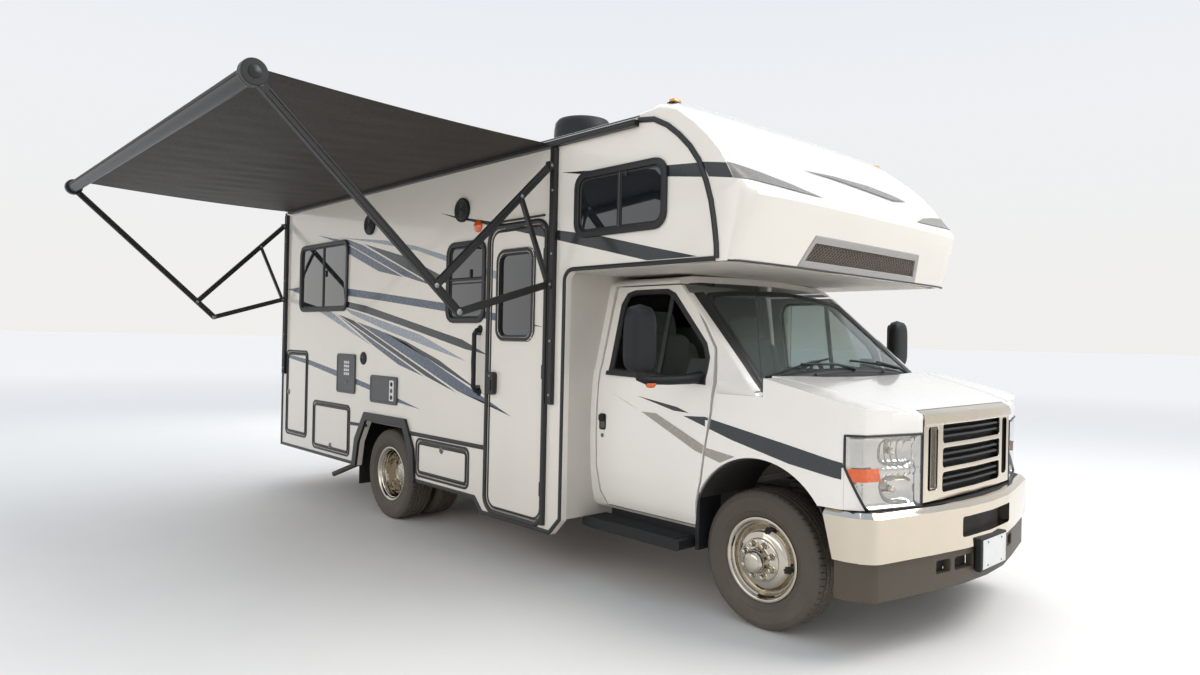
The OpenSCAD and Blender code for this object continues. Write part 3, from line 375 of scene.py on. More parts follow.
def grain_group():
    """Fine surface grain: a roughness between two values and a height for the bump."""
    tree, inner, outer = group(
        "surface grain",
        [("Fineness", FLOAT, 60.0), ("Smooth", FLOAT, 0.3), ("Rough", FLOAT, 0.4), ("Stretch", FLOAT, 1.0)],
        [("Roughness", FLOAT), ("Height", FLOAT)])
    link = tree.links.new
    place = add_node(tree, "ShaderNodeTexCoord")
    pull = add_node(tree, "ShaderNodeCombineXYZ", Y=1.0, Z=1.0)
    link(inner.outputs["Stretch"], pull.inputs["X"])
    drawn = add_node(tree, "ShaderNodeVectorMath", operation="MULTIPLY")
    link(place.outputs["Object"], drawn.inputs[0])
    link(pull.outputs[0], drawn.inputs[1])
    fine = add_node(tree, "ShaderNodeTexNoise", Detail=4.0, Roughness=0.55)
    link(drawn.outputs[0], fine.inputs["Vector"])
    link(inner.outputs["Fineness"], fine.inputs["Scale"])
    spread = add_node(tree, "ShaderNodeMapRange", **{"From Min": 0.3, "From Max": 0.7})
    link(fine.outputs["Fac"], spread.inputs["Value"])
    link(inner.outputs["Smooth"], spread.inputs["To Min"])
    link(inner.outputs["Rough"], spread.inputs["To Max"])
    link(spread.outputs["Result"], outer.inputs["Roughness"])
    link(fine.outputs["Fac"], outer.inputs["Height"])
    return tree


def weave_group():
    """Crossing threads of a plain woven cloth."""
    tree, inner, outer = group("plain weave", [("Threads", FLOAT, 300.0), ("Depth", FLOAT, 0.2)],
                               [("Shade", FLOAT), ("Height", FLOAT)])
    link = tree.links.new
    place = add_node(tree, "ShaderNodeTexCoord")
    threads = []
    for direction in ("X", "Y"):
        wave = add_node(tree, "ShaderNodeTexWave", wave_type="BANDS", bands_direction=direction)
        wave.inputs["Distortion"].default_value = 0.4
        link(place.outputs["Object"], wave.inputs["Vector"])
        link(inner.outputs["Threads"], wave.inputs["Scale"])
        threads.append(wave)
    cross = add_node(tree, "ShaderNodeMath", operation="MULTIPLY")
    link(threads[0].outputs["Fac"], cross.inputs[0])
    link(threads[1].outputs["Fac"], cross.inputs[1])
    dark = add_node(tree, "ShaderNodeMath", operation="MULTIPLY")
    link(cross.outputs[0], dark.inputs[0])
    link(inner.outputs["Depth"], dark.inputs[1])
    link(dark.outputs[0], outer.inputs["Shade"])
    link(cross.outputs[0], outer.inputs["Height"])
    return tree


WEATHERING, GRAIN, WEAVE = weathering_group(), grain_group(), weave_group()
ROAD_DUST = (0.34, 0.29, 0.235, 1)


def placed(tree, node_group, **values):
    node = add_node(tree, "ShaderNodeGroup", node_tree=node_group)
    for label, value in values.items():
        node.inputs[label].default_value = value
    return node


def finish(name, colour, rough=(0.3, 0.4), dust=0.15, reach=1.0, mottle=0.05, patch=2.5, fineness=60.0,
           stretch=1.0, bump=0.05, weave=None, **sockets):
    """A weathered surface; other values go straight to the shader's own sockets."""
    made = bpy.data.materials.new(name)
    made.use_nodes = True
    tree = made.node_tree
    shader = tree.nodes["Principled BSDF"]
    colour_of = placed(tree, WEATHERING, Clean=(*colour, 1), Dust=ROAD_DUST, Amount=dust, Reach=reach,
                       Mottle=mottle, Patch=patch)
    grain = placed(tree, GRAIN, Fineness=fineness, Smooth=rough[0], Rough=rough[1], Stretch=stretch)
    relief = add_node(tree, "ShaderNodeBump", Strength=bump, Distance=0.002)
    height = grain.outputs["Height"]
    base = colour_of.outputs["Colour"]
    if weave:
        threads = placed(tree, WEAVE, Threads=weave, Depth=0.35)
        darker = add_node(tree, "ShaderNodeMix", data_type="RGBA", blend_type="MULTIPLY")
        darker.inputs[7].default_value = (0.35, 0.35, 0.35, 1)
        tree.links.new(threads.outputs["Shade"], darker.inputs[0])
        tree.links.new(base, darker.inputs[6])
        base = darker.outputs[2]
        height = threads.outputs["Height"]
    tree.links.new(base, shader.inputs["Base Color"])
    tree.links.new(grain.outputs["Roughness"], shader.inputs["Roughness"])
    tree.links.new(height, relief.inputs["Height"])
    tree.links.new(relief.outputs["Normal"], shader.inputs["Normal"])
    for label, value in sockets.items():
        shader.inputs[label.replace("_", " ")].default_value = value
    return made


def lens(name, colour, **values):
    """Coloured lamp lens."""
    return finish(name, colour, (0.08, 0.16), fineness=90, Coat_Weight=1.0, Coat_Roughness=0.03, **values)


def vinyl(name, colour, rough, **values):
    """Stripe of coloured vinyl film."""
    return finish(name, colour, rough, dust=0.05, fineness=40, bump=0.02, Coat_Weight=0.4,
                  Coat_Roughness=0.08, **values)


GELCOAT = finish("coach gelcoat", (0.80, 0.752, 0.675), (0.16, 0.24), dust=0.22, reach=0.9, mottle=0.035,
                 patch=1.3, fineness=14, bump=0.012, Coat_Weight=0.5, Coat_Roughness=0.06)
CAB_PAINT = finish("cab paint", (0.845, 0.805, 0.745), (0.14, 0.2), dust=0.2, reach=0.8, mottle=0.025,
                   patch=1.5, fineness=30, bump=0.006, Coat_Weight=0.8, Coat_Roughness=0.03)
ROOF_SKIN = finish("roof membrane", (0.54, 0.525, 0.495), (0.5, 0.65), dust=0.3, reach=6.0, mottle=0.10,
                   patch=1.1, fineness=120, bump=0.10)
BLACK_TRIM = finish("black trim", (0.014, 0.014, 0.015), (0.32, 0.5), dust=0.08, reach=1.2, mottle=0.2,
                    patch=9, fineness=160, bump=0.12)
BLACK_PLASTIC = finish("grained black plastic", (0.010, 0.011, 0.013), (0.42, 0.6), dust=0.04, reach=0.8,
                       mottle=0.2, patch=6, fineness=420, bump=0.35, Specular_IOR_Level=0.35)
BLACK_METAL = finish("black powder coat", (0.012, 0.0115, 0.011), (0.32, 0.45), dust=0.05, mottle=0.2,
                     patch=8, fineness=260, bump=0.10)
CHROME = finish("chrome", (0.66, 0.585, 0.48), (0.035, 0.075), dust=0.10, reach=0.7, mottle=0.05, patch=4,
                fineness=9, bump=0.006, Metallic=1.0)
WHEEL_CHROME = finish("polished wheel liner", (0.62, 0.57, 0.49), (0.05, 0.11), dust=0.22, reach=0.9,
                      mottle=0.10, patch=7, fineness=20, bump=0.01, Metallic=1.0)
DARK_CHROME = finish("smoked chrome", (0.25, 0.24, 0.23), (0.10, 0.2), mottle=0.1, fineness=30,
                     bump=0.02, Metallic=1.0)
VALANCE = finish("grey moulded plastic", (0.066, 0.048, 0.029), (0.45, 0.6), dust=0.18, reach=0.7,
                 mottle=0.15, patch=5, fineness=320, bump=0.25)
RUBBER = finish("tyre rubber", (0.058, 0.045, 0.033), (0.55, 0.75), dust=0.34, reach=1.0, mottle=0.25,
                patch=9, fineness=150, bump=0.22)
CHASSIS = finish("chassis black", (0.02, 0.02, 0.021), (0.45, 0.65), dust=0.35, reach=1.1, mottle=0.25,
                 patch=6, fineness=90, bump=0.2)
CAST_IRON = finish("cast iron", (0.06, 0.055, 0.05), (0.5, 0.7), dust=0.4, reach=1.0, mottle=0.35, patch=8,
                   fineness=140, bump=0.35, Metallic=0.6)
ALUMINIUM = finish("cast aluminium", (0.36, 0.36, 0.37), (0.35, 0.5), dust=0.2, mottle=0.2, patch=7,
                   fineness=110, bump=0.2, Metallic=0.8)
EXHAUST = finish("exhaust steel", (0.10, 0.088, 0.078), (0.4, 0.6), dust=0.3, mottle=0.4, patch=9,
                 fineness=80, stretch=0.2, bump=0.15, Metallic=0.8)
GREY_PANEL = finish("grey service panel", (0.085, 0.088, 0.092), (0.35, 0.5), dust=0.08, mottle=0.12, patch=5,
                    fineness=300, bump=0.18)
BOX_PLASTIC = finish("baggage box plastic", (0.045, 0.046, 0.048), (0.5, 0.65), dust=0.2, mottle=0.15,
                     fineness=200, bump=0.2)
DASH = finish("soft dash plastic", (0.085, 0.08, 0.072), (0.55, 0.7), mottle=0.1, fineness=380, bump=0.3)
SEAT_CLOTH = finish("seat cloth", (0.32, 0.30, 0.26), (0.8, 0.95), mottle=0.18, patch=12, bump=0.5,
                    weave=420.0, Sheen_Weight=0.3, Sheen_Roughness=0.5)
FLOOR_BOARD = finish("vinyl floor", (0.20, 0.155, 0.115), (0.4, 0.55), mottle=0.3, patch=3, fineness=40,
                     stretch=0.08, bump=0.1)
INNER_PANEL = finish("inner wall panel", (0.60, 0.56, 0.50), (0.5, 0.62), mottle=0.08, fineness=150, bump=0.1)
SHADE_GLASS = finish("dark coach glass", (0.010, 0.013, 0.016), (0.02, 0.05), dust=0.0, mottle=0.2, patch=1.5,
                     fineness=6, bump=0.01, Coat_Weight=1.0, Coat_Roughness=0.015, Specular_IOR_Level=0.8)
CLEAR_GLASS = finish("windshield glass", (0.56, 0.63, 0.61), (0.0, 0.015), dust=0.0, mottle=0.03, patch=3,
                     fineness=5, bump=0.0, Transmission_Weight=0.93, IOR=1.12)
TINT_GLASS = finish("tinted cab glass", (0.42, 0.47, 0.46), (0.0, 0.02), dust=0.0, mottle=0.05, patch=3,
                    fineness=5, bump=0.0, Transmission_Weight=1.0, IOR=1.12)
LENS = finish("clear lamp lens", (0.85, 0.87, 0.88), (0.01, 0.03), dust=0.0, mottle=0.02, fineness=8,
              bump=0.0, Alpha=0.16, Coat_Weight=1.0, Coat_Roughness=0.01)
REFLECTOR = finish("lamp reflector", (0.60, 0.57, 0.52), (0.06, 0.12), dust=0.0, mottle=0.08, patch=25,
                   fineness=60, stretch=0.15, bump=0.05, Metallic=1.0)
AMBER = lens("amber lens", (0.80, 0.115, 0.003), dust=0.0, mottle=0.25, patch=45, bump=0.3)
MARKER_AMBER = lens("marker amber", (0.85, 0.30, 0.010), dust=0.0, mottle=0.2, patch=45, bump=0.2)
RED_LENS = lens("red lens", (0.42, 0.012, 0.010), dust=0.05, mottle=0.3, patch=40, bump=0.3)
PLATE_WHITE = finish("blank plate", (0.74, 0.74, 0.72), (0.3, 0.4), dust=0.2, reach=0.8, mottle=0.06,
                     patch=14, fineness=200, bump=0.1)
MIRROR_FACE = finish("mirror face", (0.9, 0.9, 0.9), (0.01, 0.02), dust=0.0, mottle=0.02,
                     bump=0.0, Metallic=1.0)
AWNING_CLOTH = finish("awning vinyl", (0.050, 0.041, 0.033), (0.5, 0.62), dust=0.0, mottle=0.3, patch=1.8,
                      bump=0.25, weave=520.0, Specular_IOR_Level=0.2)
SLATE = vinyl("slate blue stripe", (0.078, 0.105, 0.155), (0.22, 0.3), mottle=0.22, patch=1.7)
DARK_SLATE = vinyl("dark slate stripe", (0.018, 0.024, 0.027), (0.2, 0.28), mottle=0.25, patch=2.2)
PALE_SLATE = vinyl("pale grey stripe", (0.33, 0.37, 0.42), (0.22, 0.3), mottle=0.18, patch=1.7)
TAUPE = vinyl("taupe stripe", (0.36, 0.32, 0.285), (0.22, 0.3), mottle=0.15, patch=2.0)
INSERT_MESH = finish("bronze mesh", (0.20, 0.165, 0.13), (0.3, 0.42), dust=0.0, mottle=0.15, patch=12,
                     fineness=200, bump=0.1, Metallic=0.5)
BEZEL = finish("grey bezel", (0.34, 0.32, 0.30), (0.25, 0.35), dust=0.0, mottle=0.08, patch=6, fineness=150,
               bump=0.05, Coat_Weight=0.3, Coat_Roughness=0.1)
CAP_GREY = finish("grey cap stripe", (0.22, 0.20, 0.175), (0.22, 0.3), dust=0.0, mottle=0.15, patch=1.7,
                  fineness=40, bump=0.0)
BRONZE_BACK = finish("dark bronze", (0.075, 0.062, 0.050), (0.35, 0.5), dust=0.0, mottle=0.15, patch=12,
                     fineness=200, bump=0.05)
# near-black finish that stands in for the shade inside holes, slots and gaps: painted shade
SHADOW = finish("painted shade", (0.006, 0.006, 0.006), (0.7, 0.85), mottle=0.2, fineness=80, bump=0.1)


# Finishes of the solids

# material, nodes and how far their edges are rounded
DRESS = [
    (CHASSIS, "frame_rails fuel_tank wheel_liners", 0.004),
    (CAST_IRON, "front_suspension rear_axle knuckle_right knuckle_left", 0.003),
    (ALUMINIUM, "engine", 0.006),
    (EXHAUST, "exhaust", 0.002),
    (CHROME, "front_bumper", 0.012),
    (CHROME, "grille", 0.006),
    (CHROME, "rear_bumper", 0.005),
    (VALANCE, "bumper_valance", 0.006),
    (CAB_PAINT, "front_fenders cab_shell hood cab_door_right cab_door_left", 0.0035),
    (CLEAR_GLASS, "windshield", 0.0),
    (TINT_GLASS, "cab_glass_right cab_glass_left", 0.0),
    (DASH, "dashboard", 0.012),
    (BLACK_PLASTIC, "running_boards", 0.006),
    (GELCOAT, "coach_wall_right coach_wall_left coach_wall_rear front_cap entry_door baggage_door_rear "
     "baggage_door_mid baggage_door_low baggage_door_left", 0.003),
    (ROOF_SKIN, "coach_roof", 0.006),
    (INNER_PANEL, "coach_bulkhead bunk_floor", 0.002),
    (FLOOR_BOARD, "coach_floor", 0.002),
    (BLACK_TRIM, "window_frames wheel_arch_flares", 0.005),
    (SHADE_GLASS, "window_glass entry_door_glass", 0.0),
    (BOX_PLASTIC, "baggage_boxes", 0.003),
    (GREY_PANEL, "side_fittings", 0.004),
    (BLACK_PLASTIC, "roof_fittings", 0.012),
    (RED_LENS, "tail_lamps", 0.008),
    (BLACK_METAL, "awning_rail awning_arms awning_roller", 0.003),
    (LENS, "headlamps", 0.002),
    (WHEEL_CHROME, "front_wheel_right front_wheel_left rear_wheels_right rear_wheels_left", 0.0015),
    (RUBBER, "front_tyre_right front_tyre_left rear_tyres_right rear_tyres_left", 0.0),
    (AWNING_CLOTH, "awning_fabric", 0.0),
    (BLACK_PLASTIC, "mirror_right mirror_left", 0.008),
    (SEAT_CLOTH, "cab_seats", 0.02),
]


def dress_solids():
    for material, names, bevel in DRESS:
        for name in names.split():
            solid = nodes[name]
            solid.data.materials.clear()
            solid.data.materials.append(material)
            solid.data.polygons.foreach_set("use_smooth", [True] * len(solid.data.polygons))
            weld = solid.modifiers.new("joined faces", "WELD")
            weld.merge_threshold = 0.00005
            if bevel:
                round_edges(solid, bevel, 2, 35)
            else:
                solid.modifiers.new("even shading", "WEIGHTED_NORMAL").keep_sharp = True


# Wheels

def tyre_rows():
    """Rows of points round a tyre about its own middle: [angle, radius, along the axle]."""
    sidewall = [(0.2035, 0.0730), (0.2235, 0.0735), (0.2255, 0.0880), (0.2320, 0.0955), (0.2450, 0.1025),
                (0.2570, 0.1072), (0.2590, 0.1092), (0.2640, 0.1095), (0.2665, 0.1085), (0.2850, 0.1115),
                (0.3050, 0.1125), (0.3240, 0.1112), (0.3270, 0.1118), (0.3300, 0.1098), (0.3420, 0.1052),
                (0.3500, 0.1008), (0.3570, 0.0950)]
    ribs = [(-0.088, -0.052), (-0.044, -0.020), (-0.012, 0.012), (0.020, 0.044), (0.052, 0.088)]
    groove, notch, shoulder_notch = 0.0085, 0.0045, 0.0065
    pitches = 66
    crown = [(r, -y, 0, 0.0) for r, y in sidewall]
    for k, (y0, y1) in enumerate(ribs):
        for share in (0.0, 0.08, 0.5, 0.92, 1.0):
            y = y0 + (y1 - y0) * share
            r = TYRE_R - 0.0045 * (y / 0.088) ** 2 - (0.0015 if share in (0.0, 1.0) else 0)
            cut = shoulder_notch if k in (0, 4) else notch if share != 0.5 else notch * 0.4
            crown.append((r, y, k, cut))
        if k < len(ribs) - 1:
            gap = ribs[k + 1][0] - y1
            for share in (0.12, 0.88):
                crown.append((TYRE_R - groove, y1 + gap * share, k, 0.0))
    crown += [(r, y, 4, 0.0) for r, y in reversed(sidewall)]
    rows = []
    for p in range(pitches):
        for share, cut_here in ((0.0, 1), (0.07, 0), (0.5, 0), (0.93, 0)):
            row = []
            for r, y, rib, cut in crown:
                angle = 2 * math.pi * (p + share + 0.5 * (rib % 2) + 4 * abs(y)) / pitches
                row.append((angle, r - cut * cut_here, y))
            rows.append(row)
    return rows


TYRE_ROWS = tyre_rows()


def tyre(name, body, *centres):
    shape = Shape()
    for centre in centres:
        rows = [[(centre[0] + r * math.cos(a), centre[1] + y, centre[2] + r * math.sin(a)) for a, r, y in row]
                for row in TYRE_ROWS]
        shape.grid(rows, wrap_rows=True, wrap_points=True)
    return shape.make(name, [RUBBER], body, "tyre", sharp=28)


HAND_HOLES, LUG_NUTS, LINER_STEPS = 4, 8, 144


def lug_nut(shape, centre, out):
    """Hexagon nut with a domed end."""
    shape.turned([(0.0165, -0.004), (0.0165, 0.020)], centre, out, 6)
    shape.turned([(0.0145, 0.020), (0.0140, 0.030), (0.0105, 0.037), (0.0, 0.040)], centre, out, 14)
    shape.turned([(0.0215, -0.003), (0.0205, 0.003), (0.016, 0.005)], centre, out, 18)


def wheel_liner(name, body, centre, side, profile, nut_ring, nut_seat, hole_ring, hole_size, hub_face):
    """Polished liner over a rim, with hand holes painted on as patches of painted shade, lug nuts and a hub
    cap.
    """
    shape = Shape()
    out = Vector((0, side, 0))

    def at(turn, r, s):
        return Vector(centre) + Vector((math.cos(turn) * r, side * s, math.sin(turn) * r))

    turns = [2 * math.pi * i / LINER_STEPS for i in range(LINER_STEPS)]
    shape.grid([[at(t, r, s) for r, s in profile] for t in turns], wrap_rows=True)
    # faces inside each hand hole take the near-black finish: the holes are painted shade, not cut
    for index, face in enumerate(shape.faces):
        middle = sum((Vector(shape.points[k]) for k in face), Vector()) / len(face) - Vector(centre)
        r = math.hypot(middle.x, middle.z)
        t = math.atan2(middle.z, middle.x)
        for h in range(HAND_HOLES):
            turn = (t - math.radians(80) - 2 * math.pi * h / HAND_HOLES + math.pi) % (2 * math.pi) - math.pi
            if ((r - hole_ring) / hole_size[0]) ** 2 + (turn * r / hole_size[1]) ** 2 < 1:
                shape.finish_of[index] = 1
    for k in range(LUG_NUTS):
        lug_nut(shape, at(2 * math.pi * (k + 0.5) / LUG_NUTS, nut_ring, nut_seat), out)
    face_r, face_s = hub_face
    for r, s in ((face_r, face_s), (face_r * 0.55, face_s + 0.0015)):
        shape.turned([(r, s - 0.001), (r - 0.002, s + 0.0025), (r - 0.006, s + 0.0025),
                      (r - 0.008, s - 0.001)], centre, out, 40, 2)
    return shape.make(name, [WHEEL_CHROME, SHADOW, DARK_CHROME], body, "chrome", sharp=40)


FRONT_LINER = [(0.2250, 0.0800), (0.2250, 0.0880), (0.2215, 0.0935), (0.2140, 0.0955), (0.2060, 0.0925),
               (0.2000, 0.0820), (0.1955, 0.0640), (0.1915, 0.0480), (0.1880, 0.0385), (0.1830, 0.0370),
               (0.1760, 0.0440), (0.1700, 0.0530), (0.1650, 0.0600), (0.1600, 0.0670), (0.1550, 0.0745),
               (0.1500, 0.0800), (0.1450, 0.0838), (0.1400, 0.0862), (0.1300, 0.0890), (0.1200, 0.0905),
               (0.1150, 0.0925), (0.1130, 0.0985), (0.1090, 0.1020), (0.1000, 0.1035), (0.0680, 0.1040),
               (0.0650, 0.1060), (0.0640, 0.1120), (0.0630, 0.1480), (0.0600, 0.1620), (0.0540, 0.1740),
               (0.0460, 0.1820), (0.0300, 0.1860), (0.0, 0.1870)]
REAR_LINER = [(0.2250, 0.0800), (0.2250, 0.0880), (0.2215, 0.0935), (0.2140, 0.0955), (0.2060, 0.0920),
              (0.1990, 0.0800), (0.1900, 0.0600), (0.1840, 0.0300), (0.1800, 0.0000), (0.1770, -0.0250),
              (0.1740, -0.0400), (0.1700, -0.0520), (0.1640, -0.0610), (0.1560, -0.0670), (0.1500, -0.0700),
              (0.1440, -0.0715), (0.1380, -0.0720), (0.1340, -0.0700), (0.1320, -0.0650), (0.1280, -0.0630),
              (0.0960, -0.0625), (0.0920, -0.0600), (0.0900, -0.0500), (0.0890, -0.0150), (0.0840, -0.0020),
              (0.0760, 0.0060), (0.0600, 0.0105), (0.0, 0.0120)]


def wheels():
    twin = [abs(corner.y - AXLE.y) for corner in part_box("rear_tyres_right")]
    half_tyre = 0.1125
    outer, inner = max(twin) - half_tyre, min(twin) + half_tyre
    for label, side in SIDES.items():
        front = Vector((0.0, side * FRONT_TRACK, TYRE_R))
        body = f"wheel_front_{label}"
        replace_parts(tyre(f"tyre_front_{label}", body, front), f"front_tyre_{label}")
        wheel_liner(f"wheel_liner_front_{label}", body, front, side, FRONT_LINER, 0.089, 0.1035, 0.158,
                    (0.016, 0.024), (0.050, 0.178))
        rear = [Vector((REAR_AXLE_X, side * y, TYRE_R)) for y in (outer, inner)]
        body = f"wheels_rear_{label}"
        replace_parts(tyre(f"tyres_rear_{label}", body, *rear), f"rear_tyres_{label}")
        wheel_liner(f"wheel_liner_rear_{label}", body, rear[0], side, REAR_LINER, 0.112, -0.0625, 0.152,
                    (0.014, 0.022), (0.066, 0.008))


# Awning

def awning_cloth():
    """The cloth from the rail to the roller and a quarter turn round it, tight with faint folds."""
    y0, z0 = RAIL_EDGE
    x0, x1 = AWNING_X
    lift = ROLLER_R + 0.002
    top = (ROLLER.y, ROLLER.z + lift)
    columns, down, turn = 150, 56, 7
    rows = []
    for j in range(down + turn + 1):
        row = []
        for i in range(columns + 1):
            v = i / columns
            x = x0 + (x1 - x0) * v
            if j <= down:
                u = j / down
                hold = math.sin(math.pi * u) * math.sin(math.pi * v) ** 0.5
                sag = -0.060 * u * (1 - u)
                folds = (0.0035 * math.sin(9 * x + 5 * u) * math.sin(4.1 * x - 11 * u)
                         + 0.0025 * math.sin(23 * x + 17 * u) * math.sin(3 * math.pi * u))
                row.append((x, y0 + (top[0] - y0) * u, z0 + (top[1] - z0) * u + sag + folds * hold))
            else:
                a = math.pi / 2 * (j - down) / turn
                row.append((x, ROLLER.y - lift * math.sin(a), ROLLER.z + lift * math.cos(a)))
        rows.append(row)
    cloth = Shape().grid(rows).make("awning_cloth", [AWNING_CLOTH], slot="awning_cloth", sharp=80)
    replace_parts(cloth, "awning_fabric")
    hem = Shape()
    for edge in (0, columns):
        line = [Vector(row[edge]) for row in rows]
        hem.tube([p + Vector((0, 0, 0.0008)) for p in line], 0.0035, 8)
    hems = hem.make("awning_hems", [AWNING_CLOTH], slot="awning_cloth")


def awning_fittings():
    """End heads, pivots and channel lips of the awning's arms, and the lips of its rail."""
    pivots = ((WALL_LOW, 0.017), (ELBOW, 0.019), (WALL_HIGH, 0.017), (KNEE, 0.016), (BRACE_END, 0.012),
              (ARM_TIP, 0.020))
    shape = Shape()
    for x in ARM_PLANES:
        head = Vector((x, ROLLER.y, ROLLER.z))
        for s in (-1, 1):
            shape.turned([(0.050, 0.030), (0.0635, 0.028), (0.0655, 0.020), (0.0655, 0.002),
                          (0.0635, -0.002)], head, (s, 0, 0), 36)
        out = 1 if x == max(ARM_PLANES) else -1
        shape.turned([(0.0, 0.038), (0.018, 0.038), (0.022, 0.035), (0.030, 0.034), (0.032, 0.030)],
                     head, (out, 0, 0), 24)
        for pivot, r in pivots:
            for s in (-1, 1):
                shape.turned([(0.0, 0.0205), (r * 0.5, 0.0205), (r * 0.85, 0.0185), (r, 0.0145)],
                             (x, *pivot), (s, 0, 0), 18, 1)
        for start, end, width in ((ELBOW, ARM_TIP, 0.046), (WALL_HIGH, KNEE, 0.042)):
            along = Vector((0, end[0] - start[0], end[1] - start[1])).normalized()
            across = Vector((0, -along.z, along.y))
            p, q = Vector((x, *start)) + along * 0.05, Vector((x, *end)) - along * 0.05
            for s in (-1, 1):
                for e in (-1, 1):
                    lip = across * (e * width * 0.30) + Vector((s * 0.0145, 0, 0))
                    shape.tube([p + lip, q + lip], 0.0035, 8)
        bar_face = RIGHT * (WALL_Y + 0.026)
        for e in (-1, 1):
            shape.tube([(x + e * 0.021, bar_face, 1.106), (x + e * 0.021, bar_face, 2.716)], 0.0045, 8)
        for z in (1.16, 1.50, 2.05, 2.45):
            shape.turned([(0.0, 0.004), (0.006, 0.0035), (0.009, 0.0)], (x, bar_face, z),
                         (0, RIGHT, 0), 12, 1)
    rail_ends = (-5.598, -0.664)
    rail_face = RIGHT * (WALL_Y + 0.040)
    for z in (2.7265, 2.7375, 2.7535):
        shape.tube([(x, rail_face, z) for x in rail_ends], 0.0032, 8)
    shape.make("awning_fittings", [BLACK_METAL, ALUMINIUM], slot="black_metal")


# Coach sides

def coach_trims():
    """Black mouldings along the edges of the side walls."""
    edge = crowned(0.026, 0.011)
    bunk_z, belt_z, skirt_z, step_z = 1.944, 0.745, 0.384, 0.294
    front_x, arch_front, arch_back, rear_x = -1.284, -3.020, -4.115, REAR_X + 0.015
    bunk_corner = arc(-1.213, 1.872, 0.070, 90, 180, 6)
    for label, side in SIDES.items():
        shape = Shape()
        cap_line = [(x - 0.004, z - 0.001) for x, z in CAP_EDGE[:-1]] + [(-0.086, bunk_z)]
        shape.moulding(cap_line, side, crowned(0.030, 0.013))
        low = [(front_x, skirt_z)]
        if side == RIGHT:
            low = [(front_x, 0.392), (-1.380, step_z), (-2.126, step_z), (-2.222, skirt_z)]
        shape.moulding([(-0.095, bunk_z), (-1.205, bunk_z), *bunk_corner, *low,
                        (arch_front, skirt_z)], side, edge)
        shape.moulding([(arch_back, skirt_z), (rear_x, skirt_z), (rear_x, 2.745)], side, edge)
        first = ENTRY[0] - 0.035 if side == RIGHT else -1.300
        shape.moulding([(first, belt_z), (-3.175, belt_z)], side, crowned(0.030, 0.012))
        shape.moulding([(-3.860, 0.735), (-4.195, 0.726)], side, edge)
        if side == LEFT:
            shape.moulding([(-0.670, 2.748), (REAR_X + 0.02, 2.748)], side, crowned(0.024, 0.012))
        shape.make(f"coach_trims_{label}", [BLACK_TRIM], slot="black_plastic")
    shape = Shape()
    for y in (-WALL_Y + 0.02, WALL_Y - 0.02):
        section = [(-0.016, 0.0005), (-0.016, -0.008), (0.0, -0.012), (0.016, -0.008), (0.016, 0.0005)]
        rows = [[(REAR_X + out, y + c, z) for c, out in section] for z in (0.375, 2.755)]
        shape.loft(rows)
    shape.make("rear_corner_trims", [BLACK_TRIM], slot="black_plastic")


def window_details():
    """Sliding bars, inner seals and drip lips of the coach windows."""
    for label, side in SIDES.items():
        shape = Shape()
        for box in WINDOWS[label]:
            x0, z0, x1, z1 = box
            shape.moulding(rounded(grown(box, -0.018), 0.055), side, crowned(0.014, 0.005), True)
            shape.moulding(rounded(grown(box, 0.020), 0.088), side, [(-0.006, 0.015), (-0.004, 0.0185),
                                                                     (0.004, 0.0185), (0.006, 0.015)], True)
            if x1 - x0 > z1 - z0:
                middle = (x0 + x1) / 2
                shape.moulding([(middle, z0 + 0.012), (middle, z1 - 0.012)], side, crowned(0.022, 0.010))
                shape.moulding([(middle + 0.018, z0 + 0.012), (middle + 0.018, z1 - 0.012)], side,
                               crowned(0.008, 0.006))
            else:
                middle = z0 + 0.54 * (z1 - z0)
                shape.moulding([(x0 + 0.012, middle), (x1 - 0.012, middle)], side, crowned(0.022, 0.010))
                shape.moulding([(x0 + 0.012, middle - 0.03), (x1 - 0.012, middle - 0.03)], side,
                               crowned(0.010, 0.007))
            latch = (x0 + x1) / 2 + 0.05
            shape.plate(rounded((latch, z0 + 0.30, latch + 0.018, z0 + 0.36), 0.006), side, 0.0, 0.010)
        shape.make(f"window_bars_{label}", [BLACK_TRIM], slot="black_plastic")


def lid_details():
    """Black edge frames and latches of the baggage doors."""
    latches = {"baggage_door_rear": (-5.565, 0.92), "baggage_door_mid": (-4.578, 0.485),
               "baggage_door_low": (-2.665, 0.662)}
    for name, box in list(LIDS.items()) + [("baggage_door_left", LIDS["baggage_door_mid"])]:
        side = LEFT if name == "baggage_door_left" else RIGHT
        inside = grown(box, -0.009)
        shape = Shape()
        shape.moulding(rounded(grown(inside, -0.010), 0.026), side, crowned(0.020, 0.008), True)
        x, z = latches.get(name, latches["baggage_door_mid"])
        shape.knob([(0.026, -0.0005), (0.026, 0.004), (0.022, 0.008), (0.014, 0.009), (0.012, 0.006),
                    (0.0, 0.006)], x, z, side, 28, 1)
        shape.plate(rounded((x - 0.004, z - 0.013, x + 0.004, z + 0.013), 0.003), side, 0.005, 0.011, 1)
        shape.make(f"{name}_edging", [BLACK_TRIM, DARK_CHROME], name, "black_plastic")
        shape = Shape()
        shape.moulding(rounded(grown(box, 0.013), 0.048), side, crowned(0.018, 0.007), True)
        shape.make(f"{name}_frame", [BLACK_TRIM], slot="black_plastic")


